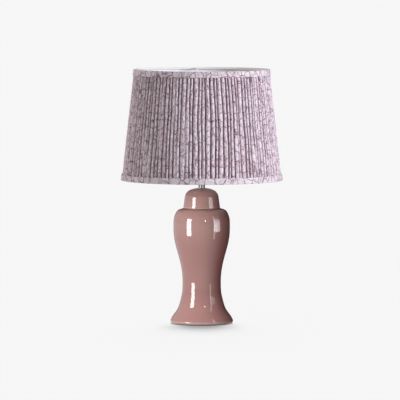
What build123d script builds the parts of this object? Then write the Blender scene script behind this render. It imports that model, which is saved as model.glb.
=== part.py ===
"""A ginger jar table lamp: glazed ceramic jar and lid, lampholder, bulb and gathered shade.

Millimetres, +Z up. The origin is on the floor, at the centre of the felt under the foot.
The pieces stand in the order in which they go together on a bench: the jar and what
clamps it along the rod, the lampholder, the shade carrier, the bulb and the shade.
"""

import os
from math import cos, pi, sin

from build123d import *

os.makedirs("parts", exist_ok=True)

# ---------------------------------------------------------------- driving dimensions
# Clearances
press_clearance = 0.1        # between pieces that are glued, clamped or screwed together
running_clearance = 0.3      # between pieces that move past each other
cut_overrun = 1.0            # how far a cut goes past the face that it goes through

# Jar
felt_thickness = 1.5
felt_setback = 3.5           # felt's edge inside the ring that the foot stands on
felt_edge = 0.3
foot_bead_radius = 67.9      # widest point of the foot
foot_bead_level = 5.9
foot_contact_setback = 4.4   # from the widest point to the ring that the foot stands on
foot_lip_setback = 0.4       # from the widest point to where the bead turns into the flare
foot_lip_level = 7.7
foot_top_setback = 2.5       # from the widest point to the start of the flare
foot_top_level = 12.3
flare_radius = 53.4          # half way up the flare
flare_level = 29.8
stem_radius = 45.8
stem_level = 51.3
waist_radius = 41.4
waist_level = 90.3
swell_radius = 50.5          # where the jar opens from the waist to the belly
swell_level = 148.3
belly_radius = 61.0
belly_level = 205.3
shoulder_radius = 57.6       # where the belly rolls over to the shoulder
shoulder_level = 236.6
slope_radius = 52.4          # where the shoulder starts to slope up to the lid
slope_level = 245.0
mouth_seat_radius = 41.6     # edge of the flat that the lid stands on
mouth_seat_level = 249.3
jar_wall = 6.0
jar_floor = 6.0
foot_ring_width = 10.5       # ring that the foot stands on, round the recess
foot_recess_depth = 22.5
collar_radius = 33.4         # upstanding collar inside the lid
collar_wall = 5.0
collar_height = 9.0
rod_hole_radius = 5.5

# Lid
gasket_thickness = 1.0
gasket_radius = 38.6
lid_base_radius = 39.8
lid_brow_radius = 36.4       # where the lid's side meets its dome
lid_brow_height = 24.6
lid_crown_radius = 26.3      # where the brow's curve meets the flatter crown
lid_crown_height = 38.6
lid_height = 43.0
lid_flat_radius = 8.5
lid_wall = 5.2
lid_edge_round = 1.2
lid_bore_above_collar = 1.0
lid_vault_drop = 2.0         # lid's roof rises this much from its edge to the rod

# Clamping stack on the rod
rod_radius = 5.0
rod_bore_radius = 3.6
rod_below_nut = 4.5
rod_edge = 0.4
floor_washer_radius = 18.0
floor_washer_thickness = 2.0
plate_washer_radius = 21.0
plate_washer_thickness = 1.6
nut_across_flats = 14.0
nut_height = 4.0
neck_washer_thickness = 0.8
neck_radius = 7.0
neck_length = 21.0
lock_nut_height = 3.0

# Cord inlet
cord_radius = 3.2
cord_inlet_level = 10.2
grommet_radius = 4.6
grommet_flange_radius = 6.4
grommet_flange_thickness = 1.8
inlet_pocket_depth = 5.5     # flat of the inlet's pocket, in from the foot's widest point

# Lampholder
cap_boss_radius = 8.6
cap_boss_height = 6.0
cap_dome_height = 9.0
holder_shell_radius = 19.8
cap_skirt_height = 8.0
cap_wall = 1.2
rod_in_cap = 1.5             # end of the rod above the cap's boss
holder_shell_wall = 1.2
shell_rim = 0.6              # shell above the top of the porcelain
core_below_shell = 2.4       # porcelain's underside above the shell's lower edge
core_roof = 2.5              # porcelain between the switch bar and the socket
core_cup_height = 22.0
core_cup_radius = 14.8
core_edge = 0.5
screw_shell_radius = 14.4
screw_shell_wall = 0.5
screw_shell_length = 20.0
screw_shell_lift = 1.6       # screw shell above the floor of the porcelain's cup
thread_pitch = 3.6
thread_depth = 0.6
contact_width = 5.0
contact_thickness = 0.5
contact_rise = 2.4
contact_foot = 7.0           # length that lies on the porcelain
contact_pad = 3.0            # from the axis to the end that the bulb presses on
terminal_radius = 2.2
terminal_height = 3.0
terminal_circle = 11.0
terminal_count = 3

# Push-bar switch
bar_radius = 2.4
bar_travel = 5.0
button_radius = 4.0
button_length = 5.0
button_edge = 1.2

# Shade rings and carrier
ring_radius = 26.0
ring_height = 6.0
ring_grips = 20
ring_grip_depth = 0.8
ring_gap_above_bar = 3.0     # between the push buttons and the lower shade ring
gallery_radius = 31.0
gallery_thickness = 1.2
carrier_wire = 2.6
carrier_arm_radius = 47.5
carrier_arm_count = 3
carrier_height = 143.0       # gallery to the top of the carrier's ring
carrier_foot_bend = 6.0
arm_foot_run = 4.0           # arm's foot, out past the gallery's edge
arm_foot_rise = 16.0

# Bulb
bulb_cap_radius = 13.2
bulb_cap_length = 21.0
bulb_cap_plain = 4.0         # plain rim above the cap's thread
bulb_cap_lead = 1.5
bulb_tip_radius = 4.6
bulb_tip_height = 1.0
bulb_insulator_radius = 10.2
bulb_insulator_height = 1.8
bulb_radius = 30.0
bulb_collar_length = 38.0
bulb_collar_lip = 1.0        # collar out past the cap at its foot, and in from the globe at its top
bulb_length = 106.0
bulb_wall = 1.2
globe_taper = 0.6

# Shade
shade_above_lid = 18.0       # bottom edge of the shade above the top of the lid
shade_height = 239.0
shade_bottom_radius = 175.0  # outside of the bottom band
shade_top_radius = 147.6     # outside of the top band
band_height = 13.0
band_stand_off = 0.3         # between the gathers' crests and a band
bottom_band_thickness = 1.7  # cloth turned over twice, with the shade's seam inside
top_band_thickness = 0.8
gather_count = 116
gather_depth = 4.4
gather_fullness = 0.9        # height of a narrow gather, as a share of half its width
gather_cloth = 0.8           # cloth left at the bottom of a valley
lining_thickness = 0.8
lining_lap = 12.0            # where the ends of the lining overlap
lining_lap_angle = 103.0
shade_ring_wire = 3.4
ring_inset = 3.0             # shade ring's wire, in from the edge of the lining
fitter_width = 9.0
fitter_thickness = 1.2
fitter_lip = 5.0
spider_wire = 3.2
spider_count = 3
spider_angle = 96.0          # first arm, from the right towards the back
spider_bend = 10.0
spider_foot_lap = 1.0        # arm's foot over the fitter's inner edge
spider_foot_run = 12.0       # arm's foot, out past the fitter
spider_end_run = 26.0        # level end of the arm, in from the top ring

# ---------------------------------------------------------------- derived levels
foot_level = felt_thickness
foot_contact_radius = foot_bead_radius - foot_contact_setback
foot_lip_radius = foot_bead_radius - foot_lip_setback
foot_top_radius = foot_bead_radius - foot_top_setback
felt_radius = foot_contact_radius - felt_setback
foot_recess_radius = foot_contact_radius - foot_ring_width
inlet_flat_distance = foot_bead_radius - inlet_pocket_depth
recess_top_level = foot_level + foot_recess_depth
floor_top_level = recess_top_level + jar_floor
collar_top_level = mouth_seat_level + collar_height
lid_seat_level = mouth_seat_level + gasket_thickness
lid_brow_level = lid_seat_level + lid_brow_height
lid_crown_level = lid_seat_level + lid_crown_height
lid_top_level = lid_seat_level + lid_height
neck_washer_level = lid_top_level
neck_level = neck_washer_level + neck_washer_thickness
lock_nut_level = neck_level + neck_length
holder_level = lock_nut_level + lock_nut_height
cap_dome_level = holder_level + cap_boss_height
cap_skirt_level = cap_dome_level + cap_dome_height
cap_top_level = cap_skirt_level + cap_skirt_height
rod_top_level = cap_dome_level + rod_in_cap
bar_level = cap_top_level + button_radius + running_clearance
lower_ring_level = bar_level + button_radius + ring_gap_above_bar
gallery_level = lower_ring_level + ring_height + press_clearance
upper_ring_level = gallery_level + gallery_thickness + press_clearance
carrier_top_level = gallery_level + carrier_height
cap_skirt_radius = holder_shell_radius + press_clearance + cap_wall
shell_bottom_level = cap_skirt_level + press_clearance
core_level = shell_bottom_level + core_below_shell
bar_hole_radius = bar_radius + running_clearance
cup_level = bar_level + bar_hole_radius + core_roof
core_top_level = cup_level + core_cup_height
shell_top_level = core_top_level + shell_rim
contact_level = cup_level + press_clearance
screw_shell_level = cup_level + screw_shell_lift
bulb_level = contact_level + contact_thickness + contact_rise + running_clearance
bulb_cap_level = bulb_level + bulb_tip_height + bulb_insulator_height
bulb_skirt_level = bulb_cap_level + bulb_cap_length
shade_bottom_level = lid_top_level + shade_above_lid
shade_top_level = shade_bottom_level + shade_height
fitter_level = carrier_top_level + running_clearance

rod_clear_radius = rod_radius + press_clearance
shade_lean = (shade_bottom_radius - shade_top_radius) / shade_height


# ---------------------------------------------------------------- shared shapes
def shade_radius(level, inset=0.0):
    """Radius of the straight line between the gathers' crests, moved in by inset."""
    bottom = shade_bottom_radius - band_stand_off - bottom_band_thickness
    top = shade_top_radius - band_stand_off - top_band_thickness
    share = (level - shade_bottom_level) / shade_height
    return bottom + (top - bottom) * share - inset


def ring_outline(low_radius, high_radius, low_level, high_level, wall):
    """A leaning strip beside the axis: the section of a band or of the lining."""
    Polyline(
        (low_radius - wall, low_level),
        (low_radius, low_level),
        (high_radius, high_level),
        (high_radius - wall, high_level),
        close=True,
    )


def rod_sleeve(level, outer_radius, height):
    """A washer or tube that slips over the rod and stands at a level."""
    with BuildPart() as sleeve:
        with BuildSketch(Plane.XY.offset(level)):
            Circle(outer_radius)
            Circle(rod_clear_radius, mode=Mode.SUBTRACT)
        extrude(amount=height)
    return sleeve


def rod_hexagon(level, height):
    """A hexagonal nut on the rod, standing at a level."""
    with BuildPart() as nut:
        with BuildSketch(Plane.XY.offset(level)):
            RegularPolygon(nut_across_flats / 2, 6, major_radius=False)
            Circle(rod_clear_radius, mode=Mode.SUBTRACT)
        extrude(amount=height)
    return nut


# ---------------------------------------------------------------- felt under the foot
with BuildPart() as felt_pad:
    with BuildSketch():
        Circle(felt_radius)
    extrude(amount=felt_thickness - press_clearance)
    chamfer(felt_pad.edges().group_by(Axis.Z)[-1], felt_edge)

# ---------------------------------------------------------------- jar
with BuildPart() as jar:
    with BuildSketch(Plane.XZ):
        with BuildLine():
            foot = ThreePointArc(
                (foot_contact_radius, foot_level),
                (foot_bead_radius, foot_bead_level),
                (foot_lip_radius, foot_lip_level),
            )
            flare = Spline(
                foot @ 1,
                (foot_top_radius, foot_top_level),
                (flare_radius, flare_level),
                (stem_radius, stem_level),
                (waist_radius, waist_level),
                tangents=[foot % 1, (0, 1)],
            )
            swell = Spline(
                flare @ 1,
                (swell_radius, swell_level),
                (belly_radius, belly_level),
                tangents=[(0, 1), (0, 1)],
            )
            shoulder = Spline(
                swell @ 1,
                (shoulder_radius, shoulder_level),
                (slope_radius, slope_level),
                (mouth_seat_radius, mouth_seat_level),
                tangents=[(0, 1), (-1, 0.3)],
            )
            Polyline(
                shoulder @ 1,
                (collar_radius, mouth_seat_level),
                (collar_radius, collar_top_level),
                (0, collar_top_level),
                (0, foot_level),
                (foot_contact_radius, foot_level),
            )
        make_face()
    revolve(axis=Axis.Z)
    # Hollow of the jar, one wall inside the outer shape
    with BuildSketch(Plane.XZ):
        with BuildLine():
            mouth_radius = collar_radius - collar_wall
            roof_level = mouth_seat_level - jar_wall
            floor_share = (flare_level - floor_top_level) / (flare_level - foot_top_level)
            floor_radius = flare_radius + (foot_top_radius - flare_radius) * floor_share
            inner_flare = Spline(
                (floor_radius - jar_wall, floor_top_level),
                (stem_radius - jar_wall, stem_level),
                (waist_radius - jar_wall, waist_level),
                tangents=[(-0.5, 1.0), (0, 1)],
            )
            inner_swell = Spline(
                inner_flare @ 1,
                (swell_radius - jar_wall, swell_level),
                (belly_radius - jar_wall, belly_level),
                tangents=[(0, 1), (0, 1)],
            )
            inner_shoulder = Spline(
                inner_swell @ 1,
                (slope_radius - jar_wall, slope_level - jar_wall),
                (mouth_radius, roof_level),
                tangents=[(0, 1), (-1, 0)],
            )
            Polyline(
                inner_shoulder @ 1,
                (mouth_radius, collar_top_level),
                (0, collar_top_level),
                (0, floor_top_level),
                inner_flare @ 0,
            )
        make_face()
    revolve(axis=Axis.Z, mode=Mode.SUBTRACT)
    # Recess under the floor
    with BuildSketch(Plane.XY.offset(foot_level)):
        Circle(foot_recess_radius)
    extrude(amount=foot_recess_depth, mode=Mode.SUBTRACT)
    # Hole for the rod through the floor
    with BuildSketch(Plane.XY.offset(recess_top_level)):
        Circle(rod_hole_radius)
    extrude(amount=jar_floor, mode=Mode.SUBTRACT)
    # Cord inlet at the back of the foot: a flat pocket and a hole through the wall
    inlet_plane = Plane(origin=(0, 0, cord_inlet_level), x_dir=(1, 0, 0), z_dir=(0, 1, 0))
    with BuildSketch(inlet_plane.offset(inlet_flat_distance)):
        Circle(grommet_flange_radius + running_clearance)
    extrude(amount=inlet_pocket_depth + cut_overrun, mode=Mode.SUBTRACT)
    with BuildSketch(inlet_plane):
        Circle(grommet_radius + press_clearance)
    extrude(amount=foot_bead_radius, mode=Mode.SUBTRACT)

# ---------------------------------------------------------------- rubber grommet in the inlet
recess_flat_distance = (foot_recess_radius**2 - grommet_flange_radius**2) ** 0.5
with BuildPart() as cord_grommet:
    with BuildSketch(inlet_plane.offset(inlet_flat_distance + press_clearance)):
        Circle(grommet_flange_radius)
    extrude(amount=grommet_flange_thickness)
    with BuildSketch(inlet_plane.offset(recess_flat_distance - press_clearance)):
        Circle(grommet_radius)
    extrude(amount=inlet_flat_distance - recess_flat_distance + 3 * press_clearance)
    with BuildSketch(inlet_plane.offset(recess_flat_distance - press_clearance)):
        Circle(grommet_flange_radius)
    extrude(amount=-grommet_flange_thickness)
    fillet(cord_grommet.edges().group_by(Axis.Y)[-1], grommet_flange_thickness / 3)
    with BuildSketch(inlet_plane):
        Circle(cord_radius)
    extrude(amount=foot_bead_radius, mode=Mode.SUBTRACT)

# ---------------------------------------------------------------- lid and its gasket
with BuildPart() as lid_gasket:
    with BuildSketch(Plane.XY.offset(mouth_seat_level + press_clearance / 2)):
        Circle(gasket_radius)
        Circle(collar_radius + running_clearance, mode=Mode.SUBTRACT)
    extrude(amount=gasket_thickness - press_clearance)

with BuildPart() as lid:
    with BuildSketch(Plane.XZ):
        with BuildLine():
            side = Line((lid_base_radius, lid_seat_level), (lid_brow_radius, lid_brow_level))
            brow = TangentArc(side @ 1, (lid_crown_radius, lid_crown_level), tangent=side % 1)
            crown = TangentArc(brow @ 1, (lid_flat_radius, lid_top_level), tangent=brow % 1)
            Polyline(crown @ 1, (0, lid_top_level), (0, lid_seat_level), side @ 0)
        make_face()
    revolve(axis=Axis.Z)
    fillet(lid.edges().group_by(Axis.Z)[0], lid_edge_round)
    # Hollow of the lid, with a straight bore that passes over the jar's collar
    with BuildSketch(Plane.XZ):
        with BuildLine():
            lid_roof_level = lid_top_level - lid_wall
            lid_bore_radius = collar_radius + 2 * running_clearance
            lid_hollow_radius = lid_brow_radius - lid_wall
            bore_top_level = collar_top_level + lid_bore_above_collar
            bore = Line((lid_bore_radius, lid_seat_level), (lid_bore_radius, bore_top_level))
            taper = Line(bore @ 1, (lid_hollow_radius, lid_brow_level - lid_wall / 2))
            vault_edge = (lid_crown_radius - lid_wall, lid_roof_level - lid_vault_drop)
            vault = TangentArc(taper @ 1, vault_edge, tangent=(0, 1))
            Polyline(
                vault @ 1,
                (rod_hole_radius, lid_roof_level),
                (0, lid_roof_level),
                (0, lid_seat_level),
                bore @ 0,
            )
        make_face()
    revolve(axis=Axis.Z, mode=Mode.SUBTRACT)
    with BuildSketch(Plane.XY.offset(lid_roof_level - cut_overrun)):
        Circle(rod_hole_radius)
    extrude(amount=lid_wall + 2 * cut_overrun, mode=Mode.SUBTRACT)

# ---------------------------------------------------------------- rod and clamping stack
floor_washer_level = recess_top_level - press_clearance - floor_washer_thickness
plate_washer_level = floor_washer_level - press_clearance - plate_washer_thickness
rod_nut_level = plate_washer_level - press_clearance - nut_height
rod_bottom_level = rod_nut_level - rod_below_nut

floor_washer = rod_sleeve(floor_washer_level, floor_washer_radius, floor_washer_thickness)
plate_washer = rod_sleeve(plate_washer_level, plate_washer_radius, plate_washer_thickness)
rod_nut = rod_hexagon(rod_nut_level, nut_height)

with BuildPart() as threaded_rod:
    with BuildSketch(Plane.XY.offset(rod_bottom_level)):
        Circle(rod_radius)
        Circle(rod_bore_radius, mode=Mode.SUBTRACT)
    extrude(amount=rod_top_level - rod_bottom_level)
    chamfer(threaded_rod.edges().group_by(Axis.Z)[0], rod_edge)
    chamfer(threaded_rod.edges().group_by(Axis.Z)[-1], rod_edge)

neck_washer = rod_sleeve(
    neck_washer_level + press_clearance / 2, neck_radius, neck_washer_thickness - press_clearance
)
neck_tube = rod_sleeve(neck_level, neck_radius, neck_length - press_clearance)
lock_nut = rod_hexagon(lock_nut_level, lock_nut_height - press_clearance)

# ---------------------------------------------------------------- lampholder
with BuildPart() as holder_cap:
    with BuildSketch(Plane.XZ):
        with BuildLine():
            boss = Line((cap_boss_radius, holder_level), (cap_boss_radius, cap_dome_level))
            dome = TangentArc((cap_skirt_radius, cap_skirt_level), boss @ 1, tangent=(0, -1))
            cap_inner_radius = cap_skirt_radius - cap_wall
            inner_dome = TangentArc(
                (cap_inner_radius, cap_skirt_level),
                (cap_boss_radius, cap_dome_level + cap_wall),
                tangent=(0, -1),
            )
            Polyline(
                dome @ 0,
                (cap_skirt_radius, cap_top_level),
                (cap_inner_radius, cap_top_level),
                inner_dome @ 0,
            )
            Polyline(
                inner_dome @ 1,
                (rod_clear_radius, cap_dome_level + cap_wall),
                (rod_clear_radius, holder_level),
                boss @ 0,
            )
        make_face()
    revolve(axis=Axis.Z)

shell_inner_radius = holder_shell_radius - holder_shell_wall
across_plane = Plane(origin=(0, 0, bar_level), x_dir=(0, 1, 0), z_dir=(1, 0, 0))
with BuildPart() as holder_shell:
    with BuildSketch(Plane.XY.offset(shell_bottom_level)):
        Circle(holder_shell_radius)
        Circle(shell_inner_radius, mode=Mode.SUBTRACT)
    extrude(amount=shell_top_level - shell_bottom_level)
    with BuildSketch(across_plane):
        Circle(bar_hole_radius)
    extrude(amount=holder_shell_radius + cut_overrun, both=True, mode=Mode.SUBTRACT)

core_radius = shell_inner_radius - press_clearance
with BuildPart() as holder_core:
    with BuildSketch(Plane.XY.offset(core_level)):
        Circle(core_radius)
    extrude(amount=cup_level - core_level)
    with BuildSketch(Plane.XY.offset(cup_level)):
        Circle(core_radius)
        Circle(core_cup_radius, mode=Mode.SUBTRACT)
    extrude(amount=core_cup_height)
    chamfer(holder_core.edges().group_by(Axis.Z)[-1], core_edge)
    with BuildSketch(across_plane):
        Circle(bar_hole_radius)
    extrude(amount=core_radius + cut_overrun, both=True, mode=Mode.SUBTRACT)

with BuildPart() as screw_shell:
    with BuildSketch(Plane.XZ):
        with BuildLine():
            turns = int(screw_shell_length / thread_pitch)
            outer_wall = []
            for turn in range(turns):
                turn_level = screw_shell_level + turn * thread_pitch
                crest = (screw_shell_radius, turn_level + thread_pitch / 2)
                root = (screw_shell_radius - thread_depth, turn_level + thread_pitch)
                outer_wall += [crest, root]
            outer_wall.insert(0, (screw_shell_radius - thread_depth, screw_shell_level))
            inner_wall = [(radius - screw_shell_wall, level) for radius, level in outer_wall]
            Polyline(*outer_wall, *reversed(inner_wall), close=True)
        make_face()
    revolve(axis=Axis.Z)

with BuildPart() as centre_contact:
    with BuildSketch(Plane.XZ):
        with BuildLine():
            contact_end = contact_pad + thread_depth - screw_shell_radius
            contact_bend = contact_end + contact_foot
            contact_skew = contact_thickness / 2
            pad_level = contact_level + contact_rise
            Polyline(
                (contact_end, contact_level),
                (contact_bend, contact_level),
                (0, pad_level),
                (contact_pad, pad_level),
                (contact_pad, pad_level + contact_thickness),
                (-contact_skew, pad_level + contact_thickness),
                (contact_bend - contact_skew, contact_level + contact_thickness),
                (contact_end, contact_level + contact_thickness),
                close=True,
            )
        make_face()
    extrude(amount=contact_width / 2, both=True)

with BuildPart() as terminal_screws:
    with BuildSketch(Plane.XY.offset(core_level - press_clearance)):
        with PolarLocations(terminal_circle, terminal_count, start_angle=90):
            Circle(terminal_radius)
    extrude(amount=-terminal_height)

# ---------------------------------------------------------------- push-bar switch
bar_half = holder_shell_radius + bar_travel / 2 + running_clearance
bar_rest = -bar_travel / 2
with BuildPart() as push_bar:
    with BuildSketch(across_plane.offset(bar_rest)):
        Circle(bar_radius)
    extrude(amount=bar_half + button_length / 2, both=True)

with BuildPart() as push_buttons:
    for side_sign in (-1, 1):
        button_start = bar_rest + side_sign * (bar_half + press_clearance)
        with BuildSketch(across_plane.offset(button_start)):
            Circle(button_radius)
        extrude(amount=side_sign * button_length)
    fillet(push_buttons.edges().group_by(Axis.X)[0], button_edge)
    fillet(push_buttons.edges().group_by(Axis.X)[-1], button_edge)
    with BuildSketch(across_plane.offset(bar_rest)):
        Circle(bar_radius + press_clearance)
    extrude(amount=bar_half + button_length / 2 + press_clearance, both=True, mode=Mode.SUBTRACT)

# ---------------------------------------------------------------- shade rings
ring_bore = holder_shell_radius + press_clearance


def knurled_ring(level):
    """A shade ring: a flanged threaded ring with grips round its edge, at a level."""
    with BuildPart() as ring:
        with BuildSketch(Plane.XY.offset(level)):
            Circle(ring_radius)
            with PolarLocations(ring_radius + ring_grip_depth, ring_grips):
                Circle(2 * ring_grip_depth, mode=Mode.SUBTRACT)
            Circle(ring_bore, mode=Mode.SUBTRACT)
        extrude(amount=ring_height)
    return ring


lower_shade_ring = knurled_ring(lower_ring_level)
upper_shade_ring = knurled_ring(upper_ring_level)

# ---------------------------------------------------------------- shade carrier
carrier_wire_radius = carrier_wire / 2
with BuildPart() as carrier_gallery:
    with BuildSketch(Plane.XY.offset(gallery_level)):
        Circle(gallery_radius)
        Circle(ring_bore + running_clearance, mode=Mode.SUBTRACT)
    extrude(amount=gallery_thickness)

arm_foot_level = gallery_level + gallery_thickness + carrier_wire_radius + press_clearance
arm_top_level = carrier_top_level - carrier_wire - press_clearance
with BuildPart() as carrier_arm:
    with BuildLine(Plane.XZ) as arm_route:
        FilletPolyline(
            (ring_radius + 4 * running_clearance, arm_foot_level),
            (gallery_radius + arm_foot_run, arm_foot_level),
            (carrier_arm_radius, arm_foot_level + arm_foot_rise),
            (carrier_arm_radius, arm_top_level),
            radius=carrier_foot_bend,
        )
    with BuildSketch(Plane(origin=arm_route.line @ 0, z_dir=arm_route.line % 0)):
        Circle(carrier_wire_radius)
    sweep(path=arm_route.wires()[0])

with BuildPart() as carrier_arms:
    with PolarLocations(0, carrier_arm_count, start_angle=90):
        add(carrier_arm.part)

with BuildPart() as carrier_ring:
    with BuildSketch(Plane.XZ):
        with Locations((carrier_arm_radius, carrier_top_level - carrier_wire_radius)):
            Circle(carrier_wire_radius)
    revolve(axis=Axis.Z)

# ---------------------------------------------------------------- bulb
with BuildPart() as bulb_tip:
    with BuildSketch(Plane.XY.offset(bulb_level)):
        Circle(bulb_tip_radius)
    extrude(amount=bulb_tip_height)
    fillet(bulb_tip.edges().group_by(Axis.Z)[0], bulb_tip_height / 2)

with BuildPart() as bulb_insulator:
    with BuildSketch(Plane.XZ):
        Polygon(
            (0, bulb_level + bulb_tip_height),
            ((bulb_tip_radius + bulb_insulator_radius) / 2, bulb_level + bulb_tip_height),
            (bulb_insulator_radius, bulb_cap_level),
            (0, bulb_cap_level),
            align=None,
        )
    revolve(axis=Axis.Z)

with BuildPart() as bulb_cap:
    with BuildSketch(Plane.XZ):
        with BuildLine():
            cap_turns = int((bulb_cap_length - bulb_cap_plain) / thread_pitch)
            cap_wall_points = [(bulb_insulator_radius, bulb_cap_level)]
            for turn in range(cap_turns):
                turn_level = bulb_cap_level + bulb_cap_lead + turn * thread_pitch
                cap_wall_points += [
                    (bulb_cap_radius - thread_depth, turn_level),
                    (bulb_cap_radius, turn_level + thread_pitch / 2),
                ]
            cap_wall_points += [
                (bulb_cap_radius - thread_depth, bulb_skirt_level - bulb_cap_plain),
                (bulb_cap_radius, bulb_skirt_level),
                (0, bulb_skirt_level),
                (0, bulb_cap_level),
            ]
            Polyline(*cap_wall_points, close=True)
        make_face()
    revolve(axis=Axis.Z)

bulb_top_level = bulb_level + bulb_length
bulb_collar_top = bulb_skirt_level + bulb_collar_length
with BuildPart() as bulb_collar:
    with BuildSketch(Plane.XZ):
        with BuildLine():
            collar_side = Spline(
                (bulb_cap_radius + bulb_collar_lip, bulb_skirt_level + press_clearance),
                (bulb_radius - bulb_collar_lip, bulb_collar_top),
                tangents=[(0.2, 1), (0.25, 1)],
            )
            Polyline(
                collar_side @ 1,
                (0, bulb_collar_top),
                (0, bulb_skirt_level + press_clearance),
                collar_side @ 0,
            )
        make_face()
    revolve(axis=Axis.Z)

with BuildPart() as bulb_globe:
    with BuildSketch(Plane.XZ):
        with BuildLine():
            globe_base = bulb_collar_top + press_clearance
            globe_centre = bulb_top_level - bulb_radius
            lower_side = TangentArc(
                (bulb_radius, globe_centre),
                (bulb_radius - globe_taper, globe_base),
                tangent=(0, -1),
            )
            upper_side = RadiusArc((bulb_radius, globe_centre), (0, bulb_top_level), -bulb_radius)
            Polyline(
                upper_side @ 1,
                (0, bulb_top_level - bulb_wall),
            )
            inner_radius = bulb_radius - bulb_wall
            inner_top = RadiusArc(
                (inner_radius, globe_centre), (0, bulb_top_level - bulb_wall), -inner_radius
            )
            Polyline(inner_top @ 0, (inner_radius - globe_taper, globe_base), lower_side @ 1)
        make_face()
    revolve(axis=Axis.Z)

# ---------------------------------------------------------------- shade frame
lining_outer_inset = gather_depth + gather_cloth + press_clearance
lining_inner_inset = lining_outer_inset + lining_thickness
ring_wire_radius = shade_ring_wire / 2
frame_inset = lining_inner_inset + lining_thickness + press_clearance + ring_wire_radius
top_ring_level = shade_top_level - ring_inset
bottom_ring_level = shade_bottom_level + ring_inset
top_ring_radius = shade_radius(top_ring_level, frame_inset)
bottom_ring_radius = shade_radius(bottom_ring_level, frame_inset)

with BuildPart() as shade_top_ring:
    with BuildSketch(Plane.XZ):
        with Locations((top_ring_radius, top_ring_level)):
            Circle(ring_wire_radius)
    revolve(axis=Axis.Z)

with BuildPart() as shade_bottom_ring:
    with BuildSketch(Plane.XZ):
        with Locations((bottom_ring_radius, bottom_ring_level)):
            Circle(ring_wire_radius)
    revolve(axis=Axis.Z)

fitter_outer = carrier_arm_radius + carrier_wire_radius + running_clearance + fitter_thickness
fitter_inner = fitter_outer - fitter_width
with BuildPart() as fitter_ring:
    with BuildSketch(Plane.XZ):
        Polygon(
            (fitter_inner, fitter_level),
            (fitter_outer - fitter_thickness, fitter_level),
            (fitter_outer - fitter_thickness, fitter_level - fitter_lip),
            (fitter_outer, fitter_level - fitter_lip),
            (fitter_outer, fitter_level + fitter_thickness),
            (fitter_inner, fitter_level + fitter_thickness),
            align=None,
        )
    revolve(axis=Axis.Z)

spider_wire_radius = spider_wire / 2
spider_low_level = fitter_level + fitter_thickness + spider_wire_radius + press_clearance
spider_end_radius = top_ring_radius - ring_wire_radius - press_clearance
with BuildPart() as spider_arm:
    with BuildLine(Plane.XZ) as spider_route:
        FilletPolyline(
            (fitter_inner + spider_foot_lap, spider_low_level),
            (fitter_outer + spider_foot_run, spider_low_level),
            (spider_end_radius - spider_end_run, top_ring_level),
            (spider_end_radius, top_ring_level),
            radius=spider_bend,
        )
    with BuildSketch(Plane(origin=spider_route.line @ 0, z_dir=spider_route.line % 0)):
        Circle(spider_wire_radius)
    sweep(path=spider_route.wires()[0])

with BuildPart() as spider_arms:
    with PolarLocations(0, spider_count, start_angle=spider_angle):
        add(spider_arm.part)

# ---------------------------------------------------------------- lining, gathers and bands
with BuildPart() as shade_lining:
    with BuildSketch(Plane.XZ):
        with BuildLine():
            ring_outline(
                shade_radius(shade_bottom_level, lining_outer_inset),
                shade_radius(shade_top_level, lining_outer_inset),
                shade_bottom_level,
                shade_top_level,
                lining_thickness,
            )
        make_face()
    revolve(axis=Axis.Z)
    # The end of the sheet laps over its start for a finger's width, on the inside
    lap_degrees = lining_lap / shade_top_radius * 180 / pi
    lap_plane = Plane.XZ.rotated((0, 0, lining_lap_angle))
    with BuildSketch(lap_plane):
        with BuildLine():
            ring_outline(
                shade_radius(shade_bottom_level, lining_inner_inset),
                shade_radius(shade_top_level, lining_inner_inset),
                shade_bottom_level,
                shade_top_level,
                lining_thickness,
            )
        make_face()
    revolve(axis=Axis.Z, revolution_arc=lap_degrees)


def gather_start(number):
    """Angle of the valley before a gather, in gathers from the first, unevenly spaced."""
    if number == gather_count:
        return gather_count + gather_start(0)
    return number + 0.10 * sin(2.1 * number) + 0.08 * sin(0.9 * number + 1)


def gather_outline(level):
    """Closed outline of the gathered cloth: one arc a gather, never more than half a circle."""
    valley = shade_radius(level, gather_depth)
    step = 2 * pi / gather_count
    for number in range(gather_count):
        start = gather_start(number) * step
        end = gather_start(number + 1) * step
        middle = (start + end) / 2
        half_width = valley * (end - start) / 2
        crest = valley + min(gather_depth, gather_fullness * half_width)
        ThreePointArc(
            (valley * cos(start), valley * sin(start)),
            (crest * cos(middle), crest * sin(middle)),
            (valley * cos(end), valley * sin(end)),
        )


with BuildPart() as shade_cover:
    for level in (shade_bottom_level, shade_top_level):
        with BuildSketch(Plane.XY.offset(level)):
            with BuildLine():
                gather_outline(level)
            make_face()
    loft(ruled=True)
    cover_inset = gather_depth + gather_cloth
    with BuildSketch(Plane.XZ):
        with BuildLine():
            Polyline(
                (0, shade_bottom_level),
                (shade_radius(shade_bottom_level, cover_inset), shade_bottom_level),
                (shade_radius(shade_top_level, cover_inset), shade_top_level),
                (0, shade_top_level),
                close=True,
            )
        make_face()
    revolve(axis=Axis.Z, mode=Mode.SUBTRACT)

with BuildPart() as bottom_band:
    with BuildSketch(Plane.XZ):
        with BuildLine():
            ring_outline(
                shade_bottom_radius,
                shade_bottom_radius - shade_lean * band_height,
                shade_bottom_level,
                shade_bottom_level + band_height,
                bottom_band_thickness,
            )
        make_face()
    revolve(axis=Axis.Z)

with BuildPart() as top_band:
    with BuildSketch(Plane.XZ):
        with BuildLine():
            ring_outline(
                shade_top_radius + shade_lean * band_height,
                shade_top_radius,
                shade_top_level - band_height,
                shade_top_level,
                top_band_thickness,
            )
        make_face()
    revolve(axis=Axis.Z)

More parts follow.
